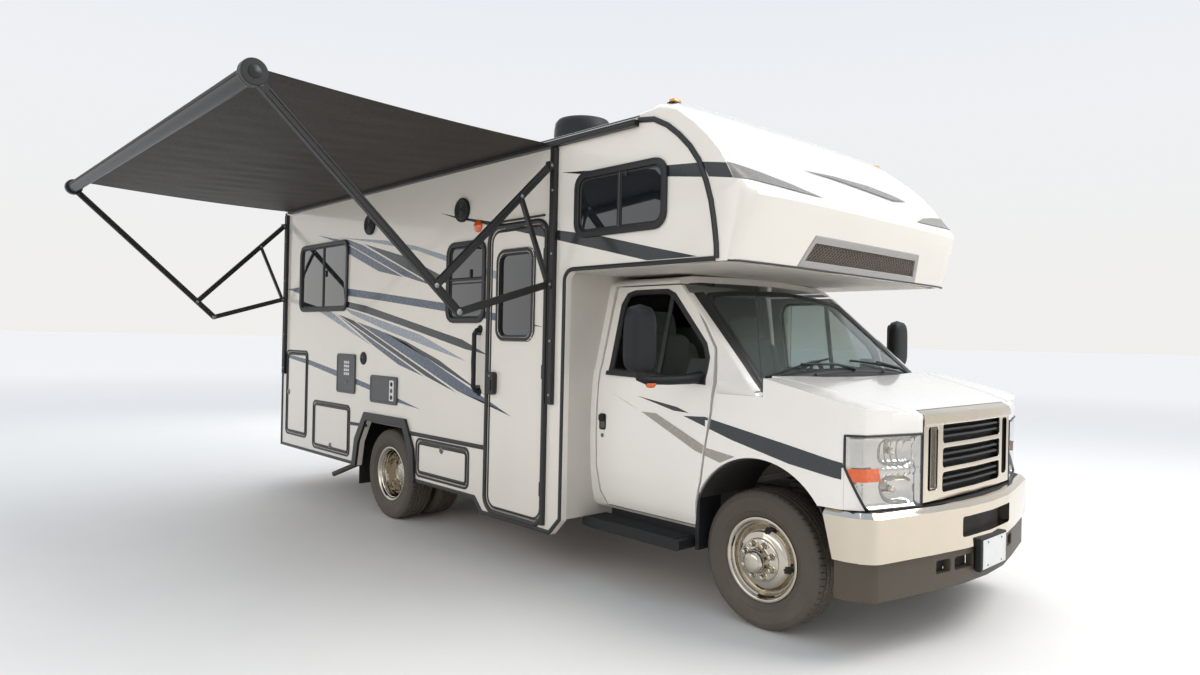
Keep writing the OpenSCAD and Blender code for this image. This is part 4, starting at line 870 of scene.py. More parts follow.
def entry_door_details():
    """Frame, seal, hinge post, latch and window edging of the entry door."""
    shape = Shape()
    shape.moulding(rounded(grown(ENTRY, 0.018), 0.108, 8), RIGHT, crowned(0.032, 0.016), True)
    x = ENTRY[2] + 0.022
    shape.moulding([(x, 0.33), (x, 2.20)], RIGHT, crowned(0.030, 0.030))
    shape.moulding([(ENTRY[0] + 0.06, ENTRY[3] + 0.050), (ENTRY[2] - 0.02, ENTRY[3] + 0.050)], RIGHT,
                   crowned(0.012, 0.022))
    shape.make("entry_door_frame", [BLACK_TRIM], slot="black_plastic")
    shape = Shape()
    shape.moulding(rounded(grown(ENTRY, -0.017), 0.078, 8), RIGHT, crowned(0.014, 0.003), True)
    shape.moulding(rounded(grown(ENTRY_PANE, 0.014), 0.072, 7), RIGHT,
                   [(-0.016, 0.0), (-0.016, 0.010), (-0.010, 0.0165), (0.010, 0.0165), (0.0155, 0.010),
                    (0.0155, 0.0)], True)
    shape.moulding(rounded(grown(ENTRY_PANE, -0.006), 0.056, 7), RIGHT,
                   [(-0.010, -0.010), (-0.010, 0.003), (0.006, 0.003), (0.006, -0.010)], True)
    latch = (-2.047, 1.128, -1.983, 1.272)
    shape.plate(rounded(latch, 0.018), RIGHT, 0.030, 0.0365)
    shape.moulding(rounded(grown(latch, 0.002), 0.020), RIGHT, [(-0.004, 0.0), (-0.004, 0.036),
                                                                (0.001, 0.036), (0.003, 0.0)], True)
    shape.plate(rounded((-2.036, 1.150, -2.000, 1.225), 0.010), RIGHT, 0.036, 0.041)
    shape.knob([(0.009, 0.036), (0.009, 0.0395), (0.006, 0.040), (0.0, 0.0395)], -2.016, 1.252, RIGHT, 20, 1)
    for z in (0.55, 1.30, 2.05):
        shape.plate(rounded((ENTRY[2] - 0.030, z - 0.045, ENTRY[2] - 0.011, z + 0.045), 0.004),
                    RIGHT, -0.001, 0.0035, 0)
    shape.make("entry_door_trim", [BLACK_TRIM, DARK_CHROME], "entry_door", "black_plastic")


def side_details():
    """Grilles of the speakers, vents and sockets on the service panels, grab handle, small lamp."""
    shape = Shape()
    for x, z in ((-3.867, 2.460), (-2.436, 2.435)):
        middle = (x, RIGHT * (WALL_Y + 0.022), z)
        shape.turned([(0.087, -0.022), (0.0885, -0.012), (0.0875, -0.002), (0.082, 0.003), (0.076, 0.003),
                      (0.073, -0.0005)], middle, (0, RIGHT, 0), 48)
        for r in (0.066, 0.056, 0.046, 0.036, 0.026):
            shape.turned([(r + 0.0035, -0.001), (r + 0.002, 0.0025), (r - 0.002, 0.0025),
                          (r - 0.0035, -0.001)], middle, (0, RIGHT, 0), 40)
        shape.turned([(0.018, -0.001), (0.015, 0.004), (0.0, 0.0055)], middle, (0, RIGHT, 0), 24)
    shape.make("speakers", [BLACK_PLASTIC], slot="black_plastic")
    shape = Shape()
    for box in SERVICE_PANELS:
        shape.moulding(rounded(grown(box, -0.012), 0.018), RIGHT, [(-0.010, 0.011), (-0.007, 0.0155),
                                                                   (0.007, 0.0155), (0.010, 0.011)], True)
    x0, z0, x1, z1 = SERVICE_PANELS[0]
    for row in range(4):
        for column in range(3):
            x, z = x0 + 0.165 + 0.036 * column, z1 - 0.075 - 0.034 * row
            shape.plate(rounded((x - 0.0135, z - 0.0115, x + 0.0135, z + 0.0115), 0.004),
                        RIGHT, 0.0105, 0.0145, 1)
    shape.knob([(0.013, 0.012), (0.012, 0.017), (0.005, 0.018), (0.0, 0.017)], x0 + 0.20,
               z0 + 0.10, RIGHT, 20, 2)
    x0, z0, x1, z1 = SERVICE_PANELS[1]
    shape.plate(rounded((x1 - 0.120, z0 + 0.030, x1 - 0.048, z1 - 0.030), 0.010), RIGHT, 0.0105, 0.0140, 1)
    for k in range(3):
        z = z0 + 0.060 + 0.054 * k
        shape.knob([(0.018, 0.0138), (0.018, 0.0165), (0.013, 0.0175), (0.011, 0.0142), (0.0, 0.0142)],
                   x1 - 0.084, z, RIGHT, 22, 0 if k % 2 else 3)
    inlet_x = -3.950
    shape.knob([(0.056, -0.001), (0.056, 0.006), (0.050, 0.010), (0.030, 0.0105), (0.027, 0.006),
                (0.0, 0.006)], inlet_x, 1.310, RIGHT, 36, 3)
    shape.knob([(0.010, 0.006), (0.009, 0.012), (0.0, 0.0125)], inlet_x, 1.322, RIGHT, 16, 2)
    shape.make("service_fittings", [GREY_PANEL, PLATE_WHITE, DARK_CHROME, BLACK_PLASTIC], slot="grey_plastic")
    shape = Shape()
    handle_x = -2.190
    grip = [(0.0, 1.130), (0.030, 1.138), (0.050, 1.165), (0.050, 1.250), (0.054, 1.350), (0.050, 1.450),
            (0.050, 1.535), (0.030, 1.562), (0.0, 1.570)]
    shape.tube([(handle_x, RIGHT * (WALL_Y + out), z) for out, z in grip],
               [0.017, 0.0165, 0.016, 0.0155, 0.0155, 0.0155, 0.016, 0.0165, 0.017], 14)
    for z in (1.130, 1.570):
        shape.knob([(0.030, -0.001), (0.029, 0.006), (0.022, 0.011), (0.0, 0.012)], handle_x, z, RIGHT, 24)
    shape.make("entry_grab_handle", [BLACK_PLASTIC], slot="grey_plastic")
    shape = Shape()
    shape.knob([(0.045, -0.001), (0.044, 0.012), (0.030, 0.024), (0.0, 0.028)], -2.235, 2.300, RIGHT, 24)
    shape.make("porch_lamp", [AMBER], slot="lamp_glass")


# Stripes

# stripe: finish and [x, z] outline on the side wall
WALL_STRIPES = [
    (SLATE, [(-4.951, 2.457), (-4.493, 2.383), (-3.293, 1.986), (-3.710, 2.053), (-4.319, 2.250),
             (-4.378, 2.328)]),
    (SLATE, [(-4.462, 2.381), (-4.306, 2.368), (-4.013, 2.296), (-2.831, 1.899), (-3.273, 1.990)]),
    (DARK_SLATE, [(-3.986, 2.304), (-3.256, 2.148), (-2.602, 1.935), (-2.602, 1.915), (-2.850, 1.915)]),
    (PALE_SLATE, [(-4.455, 2.395), (-3.626, 2.308), (-3.116, 2.226), (-1.963, 1.960), (-1.963, 1.905),
                  (-3.087, 2.186), (-3.786, 2.300)]),
    (SLATE, [(-5.650, 1.963), (-5.267, 1.974), (-4.285, 1.926), (-3.606, 1.861), (-2.583, 1.756),
             (-1.963, 1.675), (-1.480, 1.587), (-1.961, 1.625), (-2.581, 1.695), (-3.603, 1.799),
             (-4.282, 1.861), (-5.262, 1.895)]),
    (DARK_SLATE, [(-4.298, 1.810), (-3.927, 1.765), (-2.415, 1.494), (-2.096, 1.393), (-2.365, 1.424),
                  (-3.291, 1.593), (-3.924, 1.702), (-4.295, 1.755)]),
    (PALE_SLATE, [(-4.350, 1.755), (-3.924, 1.686), (-3.004, 1.523), (-2.362, 1.339), (-2.733, 1.402),
                  (-3.593, 1.562), (-4.202, 1.695)]),
    (PALE_SLATE, [(-4.901, 1.733), (-4.633, 1.726), (-3.818, 1.427), (-3.913, 1.451), (-4.341, 1.575)]),
    (SLATE, [(-4.575, 1.729), (-4.477, 1.691), (-2.941, 1.200), (-3.336, 1.276), (-3.779, 1.425)]),
    (DARK_SLATE, [(-4.459, 1.694), (-4.156, 1.637), (-2.472, 1.103), (-2.724, 1.165), (-2.909, 1.204)]),
    (SLATE, [(-4.110, 1.630), (-3.688, 1.557), (-3.226, 1.451), (-2.781, 1.305), (-1.804, 0.987),
             (-2.102, 1.059), (-2.473, 1.120)]),
    (DARK_SLATE, [(-3.624, 1.547), (-3.227, 1.468), (-2.730, 1.336), (-2.092, 1.104), (-2.476, 1.218),
                  (-2.915, 1.350)]),
    (SLATE, [(-5.690, 1.305), (-5.077, 1.258), (-4.452, 1.179), (-3.811, 1.086), (-2.980, 0.942),
             (-3.308, 0.969), (-3.811, 1.041), (-4.450, 1.126), (-5.075, 1.211), (-5.690, 1.275)]),
    (DARK_SLATE, [(-2.749, 2.447), (-2.522, 2.397), (-1.996, 2.304), (-1.360, 2.197), (-0.989, 2.135),
                  (-0.519, 2.028), (-0.213, 1.962), (-0.579, 1.962), (-0.987, 2.053), (-1.349, 2.133),
                  (-1.848, 2.241), (-2.546, 2.390)]),
    (DARK_SLATE, [(-1.336, 2.556), (-1.166, 2.541), (-0.460, 2.474), (-0.200, 2.452), (-0.170, 2.372),
                  (-0.460, 2.414), (-1.166, 2.525)]),
]

# stripe on the cab side: finish and [x, z] outline
CAB_STRIPES = [
    (DARK_SLATE, [(-0.866, 1.182), (-0.544, 1.139), (-0.450, 1.111), (-0.568, 1.116)]),
    (DARK_SLATE, [(-0.491, 1.092), (-0.336, 1.100), (0.213, 1.005), (0.506, 0.951), (0.522, 0.868),
                  (0.215, 0.911), (-0.139, 0.991)]),
    (TAUPE, [(-1.118, 1.199), (-0.843, 1.099), (-0.923, 1.125)]),
    (TAUPE, [(-0.822, 1.090), (-0.702, 1.090), (-0.309, 0.930), (-0.120, 0.905), (-0.220, 0.860),
             (-0.398, 0.905)]),
]
STRIPE_LIFT = 0.0008


def cut_flat(outline, cuts=(), holes=(), keep=None, step=None):
    """Flat mesh of an [x, z] outline; cuts are lines whose far side goes, holes and keep are boxes."""
    flat = bmesh.new()
    flat.faces.new([flat.verts.new((x, 0.0, z)) for x, z in outline])
    bmesh.ops.triangulate(flat, faces=flat.faces)

    def split(point, normal, clear=False):
        parts = list(flat.verts) + list(flat.edges) + list(flat.faces)
        if parts:
            bmesh.ops.bisect_plane(flat, geom=parts, plane_co=point, plane_no=normal, clear_outer=clear)

    for (x, z), (nx, nz) in cuts:
        split((x, 0, z), (nx, 0, nz), True)
    for x0, z0, x1, z1 in list(holes) + ([keep] if keep else []):
        for x in (x0, x1):
            split((x, 0, z0), (1, 0, 0))
        for z in (z0, z1):
            split((x0, 0, z), (0, 0, 1))

    def inside(face, box):
        m = face.calc_center_median()
        return box[0] < m.x < box[2] and box[1] < m.z < box[3]

    gone = [f for f in flat.faces if any(inside(f, b) for b in holes) or (keep and not inside(f, keep))]
    bmesh.ops.delete(flat, geom=gone, context="FACES")
    if step and flat.verts:
        xs, zs = [v.co.x for v in flat.verts], [v.co.z for v in flat.verts]
        for i in range(1, int((max(xs) - min(xs)) / step) + 1):
            split((min(xs) + i * step, 0, 0), (1, 0, 0))
        for i in range(1, int((max(zs) - min(zs)) / step) + 1):
            split((0, 0, min(zs) + i * step), (0, 0, 1))
    flat.verts.index_update()
    points = [v.co.copy() for v in flat.verts]
    faces = [[v.index for v in f.verts] for f in flat.faces]
    flat.free()
    return points, faces


def lay_on_side(points, faces, side, tree=None):
    """Move a flat mesh out to the wall, or to the surface that a search tree holds."""
    laid, good = [], set()
    for k, p in enumerate(points):
        y = WALL_Y + STRIPE_LIFT
        if tree:
            hit = tree.ray_cast(Vector((p.x, side * 2.0, p.z)), Vector((0, -side, 0)))[0]
            if hit is None:
                laid.append((p.x, side * y, p.z))
                continue
            y = abs(hit.y) + STRIPE_LIFT
        good.add(k)
        laid.append((p.x, side * y, p.z))
    return laid, [f for f in faces if all(k in good for k in f)]


def wall_stripes():
    wall_lids = [grown(b, 0.004) for b in LIDS.values()]
    for label, side in SIDES.items():
        holes = [grown(w, 0.004) for w in WINDOWS[label]]
        shapes = {COACH: Shape()}
        finishes = []
        if side == RIGHT:
            holes += [ENTRY] + wall_lids
            shapes["entry_door"] = Shape()
            for name in LIDS:
                shapes[name] = Shape()
        else:
            holes.append(grown(LIDS["baggage_door_mid"], 0.004))
        for material, outline in WALL_STRIPES:
            if material not in finishes:
                finishes.append(material)
            index = finishes.index(material)
            shapes[COACH].add(*lay_on_side(*cut_flat(outline, holes=holes), side), index)
            if side == RIGHT:
                door = cut_flat(outline, holes=[grown(ENTRY_PANE, 0.004)], keep=grown(ENTRY, -0.010))
                shapes["entry_door"].add(*lay_on_side(*door, side), index)
                for name, box in LIDS.items():
                    shapes[name].add(*lay_on_side(*cut_flat(outline, keep=grown(box, -0.010)), side), index)
        for body, shape in shapes.items():
            if shape.faces:
                shape.make(f"stripes_{label}_{body}", finishes, body, "coach_skin")


def cab_stripes():
    """Stripes that run from the cab door over the fender to the headlamp."""
    seam, across = (-0.3085, 1.030), Vector((0.983, -0.185))
    for label, side in SIDES.items():
        for body, names, sign, gap in ((f"cab_door_{label}", (f"cab_door_{label}",), 1, -0.011),
                                       (COACH, ("front_fenders",), -1, -0.018)):
            tree = face_tree(*names)
            shape = Shape()
            finishes = [DARK_SLATE, TAUPE]
            point = (seam[0] + sign * gap * across.x, seam[1] + sign * gap * across.y)
            if sign < 0:
                point = (seam[0] + 0.010, seam[1])
            for material, outline in CAB_STRIPES:
                flat = cut_flat(outline, cuts=[(point, (sign * across.x, sign * across.y))], step=0.02)
                shape.add(*lay_on_side(*flat, side, tree), finishes.index(material))
            if shape.faces:
                shape.make(f"cab_stripes_{label}_{body}", finishes, body, "cab_paint")


# Nose of the cab

# nose and bumper outlines seen from above [x, distance from the middle]
NOSE_PLAN = [(0.430, 1.008), (0.461, 1.006), (0.498, 0.997), (0.533, 0.982), (0.565, 0.961), (0.593, 0.935),
             (0.690, 0.600), (0.712, 0.360), (0.722, 0.0)]
BUMPER_PLAN = [(0.536, 1.009), (0.576, 0.998), (0.613, 0.979), (0.645, 0.954), (0.672, 0.922), (0.758, 0.520),
               (0.806, 0.260), (0.820, 0.0)]
GRILLE_HALF = 0.552
GRILLE_SLOTS = (0.772, 0.897, 1.022)
SLOT_HEIGHT = 0.100
LAMP_LOW, LAMP_TOP, LAMP_INNER = 0.725, 1.082, 0.6935


def between(table, value):
    """Straight-line reading of a table of pairs, whose first column rises or falls."""
    pairs = sorted(table)
    if value <= pairs[0][0]:
        return pairs[0][1]
    for (a, p), (b, q) in zip(pairs, pairs[1:]):
        if value <= b:
            return p + (q - p) * (value - a) / (b - a)
    return pairs[-1][1]


def plan_front(plan, y):
    return between([(b, a) for a, b in plan], abs(y))


def spread(low, high, count):
    return [low + (high - low) * i / count for i in range(count + 1)]


def nose_line(x0, x1, shares):
    """Points of the nose outline from x0 to x1 at shares of its length, with the outward directions."""
    middle = [p for p in NOSE_PLAN if x0 < p[0] < x1]
    path = [(x0, between(NOSE_PLAN, x0)), *middle, (x1, between(NOSE_PLAN, x1))]
    steps = [math.dist(p, q) for p, q in zip(path, path[1:])]
    found = []
    for share in shares:
        left = share * sum(steps)
        k = 0
        while k < len(steps) - 1 and left > steps[k]:
            left -= steps[k]
            k += 1
        (ax, ay), (bx, by) = path[k], path[k + 1]
        u = left / steps[k]
        found.append(((ax + (bx - ax) * u, ay + (by - ay) * u), ((ay - by) / steps[k], (bx - ax) / steps[k])))
    return found


def lamp_edge(z):
    """Outer edge of a headlamp: upright above, slanting in below."""
    return 0.514 + max(0.0, 0.932 - z) * 0.42


def lamp_sheet(side, depth, across=(0.0, 1.0), up=(0.0, 1.0), columns=40, rows=30):
    """Rows of points behind a headlamp's face; depth is a function of the shares across and up."""
    sheet = []
    shares = spread(*across, columns)
    for v in spread(*up, rows):
        z = LAMP_LOW + (LAMP_TOP - LAMP_LOW) * v
        row = []
        for u, ((x, y), (nx, ny)) in zip(shares, nose_line(lamp_edge(z), LAMP_INNER, shares)):
            d = depth(u, v)
            row.append((x - nx * d, side * (y - ny * d), z))
        sheet.append(row)
    return sheet


def bowl(u, v, middle, reach):
    return max(0.0, 1 - abs((u - middle[0]) / reach[0]) ** 3 - abs((v - middle[1]) / reach[1]) ** 3)


def reflector_depth(u, v):
    """Two bowls one over the other, a fluted band between them and a rim that meets the lens."""
    upper, lower = bowl(u, v, (0.68, 0.76), (0.27, 0.19)), bowl(u, v, (0.64, 0.24), (0.27, 0.19))
    band = bowl(u, v, (0.68, 0.50), (0.34, 0.060))
    flutes = 0.0022 * math.sin(75 * u) * min(1.0, 3 * (upper + band))
    rim = min(1.0, min(u, 1 - u) / 0.05, min(v, 1 - v) / 0.06)
    return 0.004 + rim * (0.020 + 0.042 * upper ** 0.7 + 0.040 * lower ** 0.7 - 0.012 * band + flutes)


def headlamps():
    """Reflectors, marker lamps and gaskets behind clear lenses."""
    inside, lens = Shape(), Shape()
    for side in SIDES.values():
        inside.grid(lamp_sheet(side, reflector_depth, columns=72, rows=60), 0)
        inside.grid(lamp_sheet(side, lambda u, v: -0.0008, (0.012, 0.37), (0.385, 0.560), 16, 8), 1)
        lens.grid(lamp_sheet(side, lambda u, v: 0.0))
        for x, z in ((0.66, 0.76), (0.62, 0.24)):
            spot = lamp_sheet(side, lambda u, v: 0.046, (x, x + 0.01), (z, z + 0.01), 1, 1)[0][0]
            inside.turned([(0.017, -0.010), (0.017, 0.004), (0.013, 0.010), (0.0, 0.012)], spot,
                          (0.9, side * 0.4, 0), 20, 3)
        face = lamp_sheet(side, lambda u, v: -0.0005)
        rim = face[0] + [row[-1] for row in face[1:]] + face[-1][-2::-1] + [row[0] for row in face[-2:0:-1]]
        inside.tube(rim, 0.0065, 8, 2, closed=True)
    lamps = inside.make("headlamp_reflectors", [REFLECTOR, AMBER, BLACK_TRIM, CHROME],
                        slot="lamp_glass", sharp=50)
    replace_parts(lamps, "headlamps")
    lens.make("headlamp_lenses", [LENS], slot="lamp_glass", sharp=60)


# profile of the hood's front [x, z] and section of the falling shoulder beside it [across, up]
HOOD_FRONT = [(0.500, 1.236), (0.656, 1.194), (0.690, 1.176), (0.800, 1.140)]
SHOULDER = [(-0.300, 0.040), (-0.060, 0.004), (0.0, -0.004), (0.060, -0.018), (0.130, -0.048),
            (0.210, -0.098)]


def nose_top(x, y):
    """Height of the hood and fender surface near the front corner."""
    ahead, aside = x - 0.656, abs(y) - 0.680
    along = (ahead * 0.935 - aside * 0.355) / 0.986
    across = (aside * 0.922 + ahead * 0.350) / 0.986
    return min(between(HOOD_FRONT, x), 1.196 - 0.167 * along + 0.986 * between(SHOULDER, across))


def fender_corners():
    """Body-coloured corners between the fenders, the hood and the headlamps."""
    shape = Shape()
    for side in SIDES.values():
        rows = []
        for y in spread(0.557, 0.772, 22):
            x = plan_front(NOSE_PLAN, y)
            back = min(0.6575 if y < 0.648 else 0.6385, x - 0.001)
            rise = [(back + (x - back) * u, nose_top(back + (x - back) * u, y)) for u in spread(0, 1, 6)]
            high = rise[-1][1]
            line = [(back, high - 0.030)] + [(a, z) for a, z in rise[:-1]]
            line += [(x - 0.002, high - 0.001), (x, high - 0.005), (x, (high + 1.086) / 2), (x, 1.0865),
                     (x - 0.030, 1.0865)]
            rows.append([(a, side * y, z) for a, z in line])
        shape.loft(rows)
        rows = []
        for z in spread(0.7285, 0.931, 16):
            edge = lamp_edge(z) - 0.006
            face = nose_line(0.5135, max(edge, 0.5145), spread(0, 1, 8))
            outer = [(x, side * y, z) for (x, y), _ in face]
            inner = [(x - nx * 0.02, side * (y - ny * 0.02), z) for (x, y), (nx, ny) in reversed(face)]
            rows.append(outer + inner)
        shape.loft(rows)
    shape.make("fender_corners", [CAB_PAINT], slot="cab_paint", sharp=30)


def grille_details():
    """Dark slats behind the grille's slots, a near-black sheet of painted shade behind them, and the chrome
    panel that meets the hood.
    """
    ys = spread(-GRILLE_HALF, GRILLE_HALF, 46)
    shape = Shape()

    def front(y, back):
        return plan_front(NOSE_PLAN, y) - back

    # near-black sheet behind the slots: painted shade inside the grille
    shape.grid([[(front(y, 0.039), y, z) for y in ys] for z in (0.742, 1.172)], 0)
    slat = [(0.037, -0.004), (0.014, -0.010), (0.008, -0.006), (0.009, 0.003), (0.037, 0.010)]
    for low in GRILLE_SLOTS:
        for share in (0.34, 0.68):
            z = low + SLOT_HEIGHT * share
            rows = [[(front(y, back), y, z + rise) for back, rise in slat] for y in ys if abs(y) < 0.374]
            shape.loft(rows, 1)
    for side in SIDES.values():
        # beside the slats: a smoked chrome strip, and a near-black strip of painted shade
        for y0, y1, back, finish_index in ((0.420, 0.456, 0.016, 2), (0.462, 0.510, 0.034, 0)):
            rows = [[(front(y, back), side * y, z) for y in spread(y0, y1, 4)] for z in (0.788, 1.112)]
            shape.grid(rows, finish_index)
    shape.make("grille_slats", [SHADOW, BLACK_TRIM, DARK_CHROME], slot="black_plastic")
    lip, seam = Shape(), []
    hood_edge = 0.657
    rows = []
    for y in ys:
        x = front(y, 0)
        rows.append([(x + 0.003, y, 1.118), (x + 0.010, y, 1.119), (x + 0.014, y, 1.126),
                     (x + 0.013, y, 1.150), (x + 0.007, y, 1.170), (x - 0.008, y, 1.182),
                     (hood_edge + 0.010, y, 1.189), (hood_edge + 0.003, y, 1.193), (hood_edge, y, 1.190),
                     (hood_edge, y, 1.150)])
        seam.append((hood_edge - 0.001, y, 1.1915))
    lip.loft(rows)
    lip.tube(seam, 0.004, 8, 1)
    for side in SIDES.values():
        x = plan_front(NOSE_PLAN, 0.556)
        lip.tube([(x - 0.004, side * 0.556, z) for z in spread(0.735, 1.150, 8)], 0.006, 8, 1)
    lip.make("grille_lip", [CHROME, BLACK_TRIM], slot="chrome", sharp=30)


def bumper_details():
    """Filler over the bumper, painted shade behind the air slot and the vents, and the blank plate in its
    holder.
    """
    shape = Shape()
    ys = spread(-0.985, 0.985, 60)
    rows = []
    for y in ys:
        x = plan_front(BUMPER_PLAN, y)
        inner = max(0.40, plan_front(NOSE_PLAN, y) - 0.030)
        rows.append([(inner, y, 0.726), (inner + 0.010, y, 0.7245), (x - 0.045, y, 0.7225),
                     (x - 0.042, y, 0.716)])
    shape.grid(rows, 0)
    # near-black sheets behind the air slot and the vents below: painted shade
    slot_back = [(plan_front(BUMPER_PLAN, y) - 0.058, y) for y in spread(-0.33, 0.33, 16)]
    shape.grid([[(x, y, z) for x, y in slot_back] for z in (0.535, 0.665)], 1)
    for side in SIDES.values():
        for y0, y1 in ((0.160, 0.345), (0.370, 0.495)):
            shape.grid([[(plan_front(BUMPER_PLAN, y) - 0.063, side * y, z) for y in spread(y0, y1, 4)]
                        for z in (0.372, 0.452)], 1)
    shape.make("bumper_filler", [BLACK_PLASTIC, SHADOW], slot="black_plastic")
    lip = Shape()
    rim = [(plan_front(BUMPER_PLAN, y) - 0.010, y, 0.4885) for y in spread(-0.985, 0.985, 70)]
    lip.tube(rim, 0.0050, 8)
    lip.make("bumper_lower_lip", [CHROME], slot="chrome")
    holder = Shape().block((0.800, -0.170, 0.348), (0.836, 0.170, 0.524))
    holder.make("plate_holder", [BLACK_PLASTIC], slot="black_plastic", bevel=0.008, segments=3)
    plate = Shape().block((0.8365, -0.1525, 0.361), (0.8385, 0.1525, 0.513))
    rows = [[(0.8390, y * 0.1525, 0.437 + z * 0.076) for y, z in ((-k, -k), (k, -k), (k, k), (-k, k))]
            for k in (0.985, 0.94)]
    plate.grid(rows, 0, wrap_points=True)
    for y in (-0.09, 0.09):
        for z in (0.377, 0.497):
            plate.turned([(0.006, 0.0), (0.005, 0.003), (0.0, 0.0035)], (0.8385, y, z), (1, 0, 0), 12, 1)
    plate.make("blank_plate", [PLATE_WHITE, DARK_CHROME], slot="grey_plastic", bevel=0.0006)


# Cab glass, mirrors and small fittings

# side of the cab [z, distance from the middle]
CAB_SIDE = [(0.560, 0.978), (0.700, 0.998), (0.900, 1.006), (1.080, 1.004), (1.230, 0.996), (1.310, 0.984),
            (1.370, 0.965), (1.848, 0.853)]
HOOD_REAR = [(0.0, 0.075), (0.400, 0.060), (0.700, 0.020), (0.862, 0.002)]
WINDSHIELD_EDGE = [(-0.900, 0.030), (-0.880, 0.120), (-0.745, 0.730), (-0.700, 0.772), (0.700, 0.772),
                   (0.745, 0.730), (0.880, 0.120), (0.900, 0.030)]


def divided(path, step, closed=True):
    """The same flat path with more points along its straight stretches."""
    fine = []
    pairs = list(zip(path, path[1:] + path[:1])) if closed else list(zip(path, path[1:]))
    for p, q in pairs:
        count = max(1, int(math.dist(p, q) / step))
        fine += [(p[0] + (q[0] - p[0]) * i / count, p[1] + (q[1] - p[1]) * i / count) for i in range(count)]
    return fine if closed else fine + [path[-1]]


def edge_band(path, section, lay):
    """Rows of a band along a closed flat path; the section is [across, lift], lay gives a place."""
    rows = []
    for i, p in enumerate(path):
        across = mitre(path, i, True)
        rows.append([lay(p[0] + across[0] * c, p[1] + across[1] * c, lift) for c, lift in section])
    return rows


def glass_seals():
    """Black borders of the windshield and of the cab door windows."""
    shape = Shape()
    path = divided(WINDSHIELD_EDGE, 0.06)
    shape.grid(edge_band(path, [(-0.036, 0.001), (-0.034, 0.0025), (-0.004, 0.004), (0.006, 0.0035),
                                (0.008, -0.004)], glass_point), wrap_rows=True)
    shape.make("windshield_seal", [BLACK_TRIM], slot="black_plastic", sharp=60)
    for label, side in SIDES.items():
        def on_door(x, z, lift, side=side):
            return x, side * (between(CAB_SIDE, z) + lift), z
        seal = Shape()
        pane = divided(DOOR_PANE, 0.04)
        seal.grid(edge_band(pane, [(0.018, -0.001), (0.016, 0.004), (0.004, 0.006), (-0.010, 0.004),
                                   (-0.016, -0.004), (-0.017, -0.016)], on_door), wrap_rows=True)
        belt = [(-1.150, 1.296), (-1.150, 1.322), (-0.350, 1.306), (-0.345, 1.276)]
        seal.loft([[on_door(x, z, out) for x, z in divided(belt, 0.05)] for out in (-0.003, 0.010)])
        sail = [(-0.480, 1.420), (-0.365, 1.420), (-0.350, 1.300), (-0.500, 1.305)]
        seal.loft([[on_door(x, z, out) for x, z in divided(sail, 0.04)] for out in (-0.010, 0.006)])
        post = [(-0.735, 1.318), (-0.735, 1.795), (-0.705, 1.775), (-0.705, 1.318)]
        seal.loft([[on_door(x, z, out) for x, z in divided(post, 0.08)] for out in (-0.020, -0.008)])
        seal.make(f"cab_window_seal_{label}", [BLACK_TRIM], f"cab_door_{label}", "black_plastic", sharp=40)


# half width of the windshield opening beside the pillars [along the glass, y]
GLASS_HALF = [(-0.100, 0.920), (0.030, 0.900), (0.120, 0.880), (0.730, 0.745), (0.900, 0.707)]
BORDER_SHARE = [(-0.100, 0.42), (0.100, 0.45), (0.700, 0.62)]


def windshield_pillars():
    """Painted faces of the front pillars, with the black border between them and the glass."""
    for label, side in SIDES.items():
        border, paint = [], []
        for s in spread(-0.012, 0.785, 32):
            edge = between(GLASS_HALF, s)
            corner = edge
            for _ in range(6):
                corner = between(CAB_SIDE, glass_point(corner, s).z)
            share = between(BORDER_SHARE, s)

            def at(u, lift, s=s, edge=edge, corner=corner):
                return tuple(glass_point(side * (edge + (corner - edge) * u), s, lift))
            border.append([at(-0.03, 0.002), at(0.0, 0.0045), at(share, 0.0045), at(share + 0.02, -0.002)])
            paint.append([at(share + 0.01, -0.003), at(share + 0.04, 0.006), at(0.92, 0.007), at(0.97, 0.004),
                          at(0.99, -0.004)])
        shape = Shape()
        shape.grid(border, 0)
        shape.grid(paint, 1)
        shape.make(f"windshield_pillar_{label}", [BLACK_TRIM, CAB_PAINT], slot="cab_paint", sharp=50)


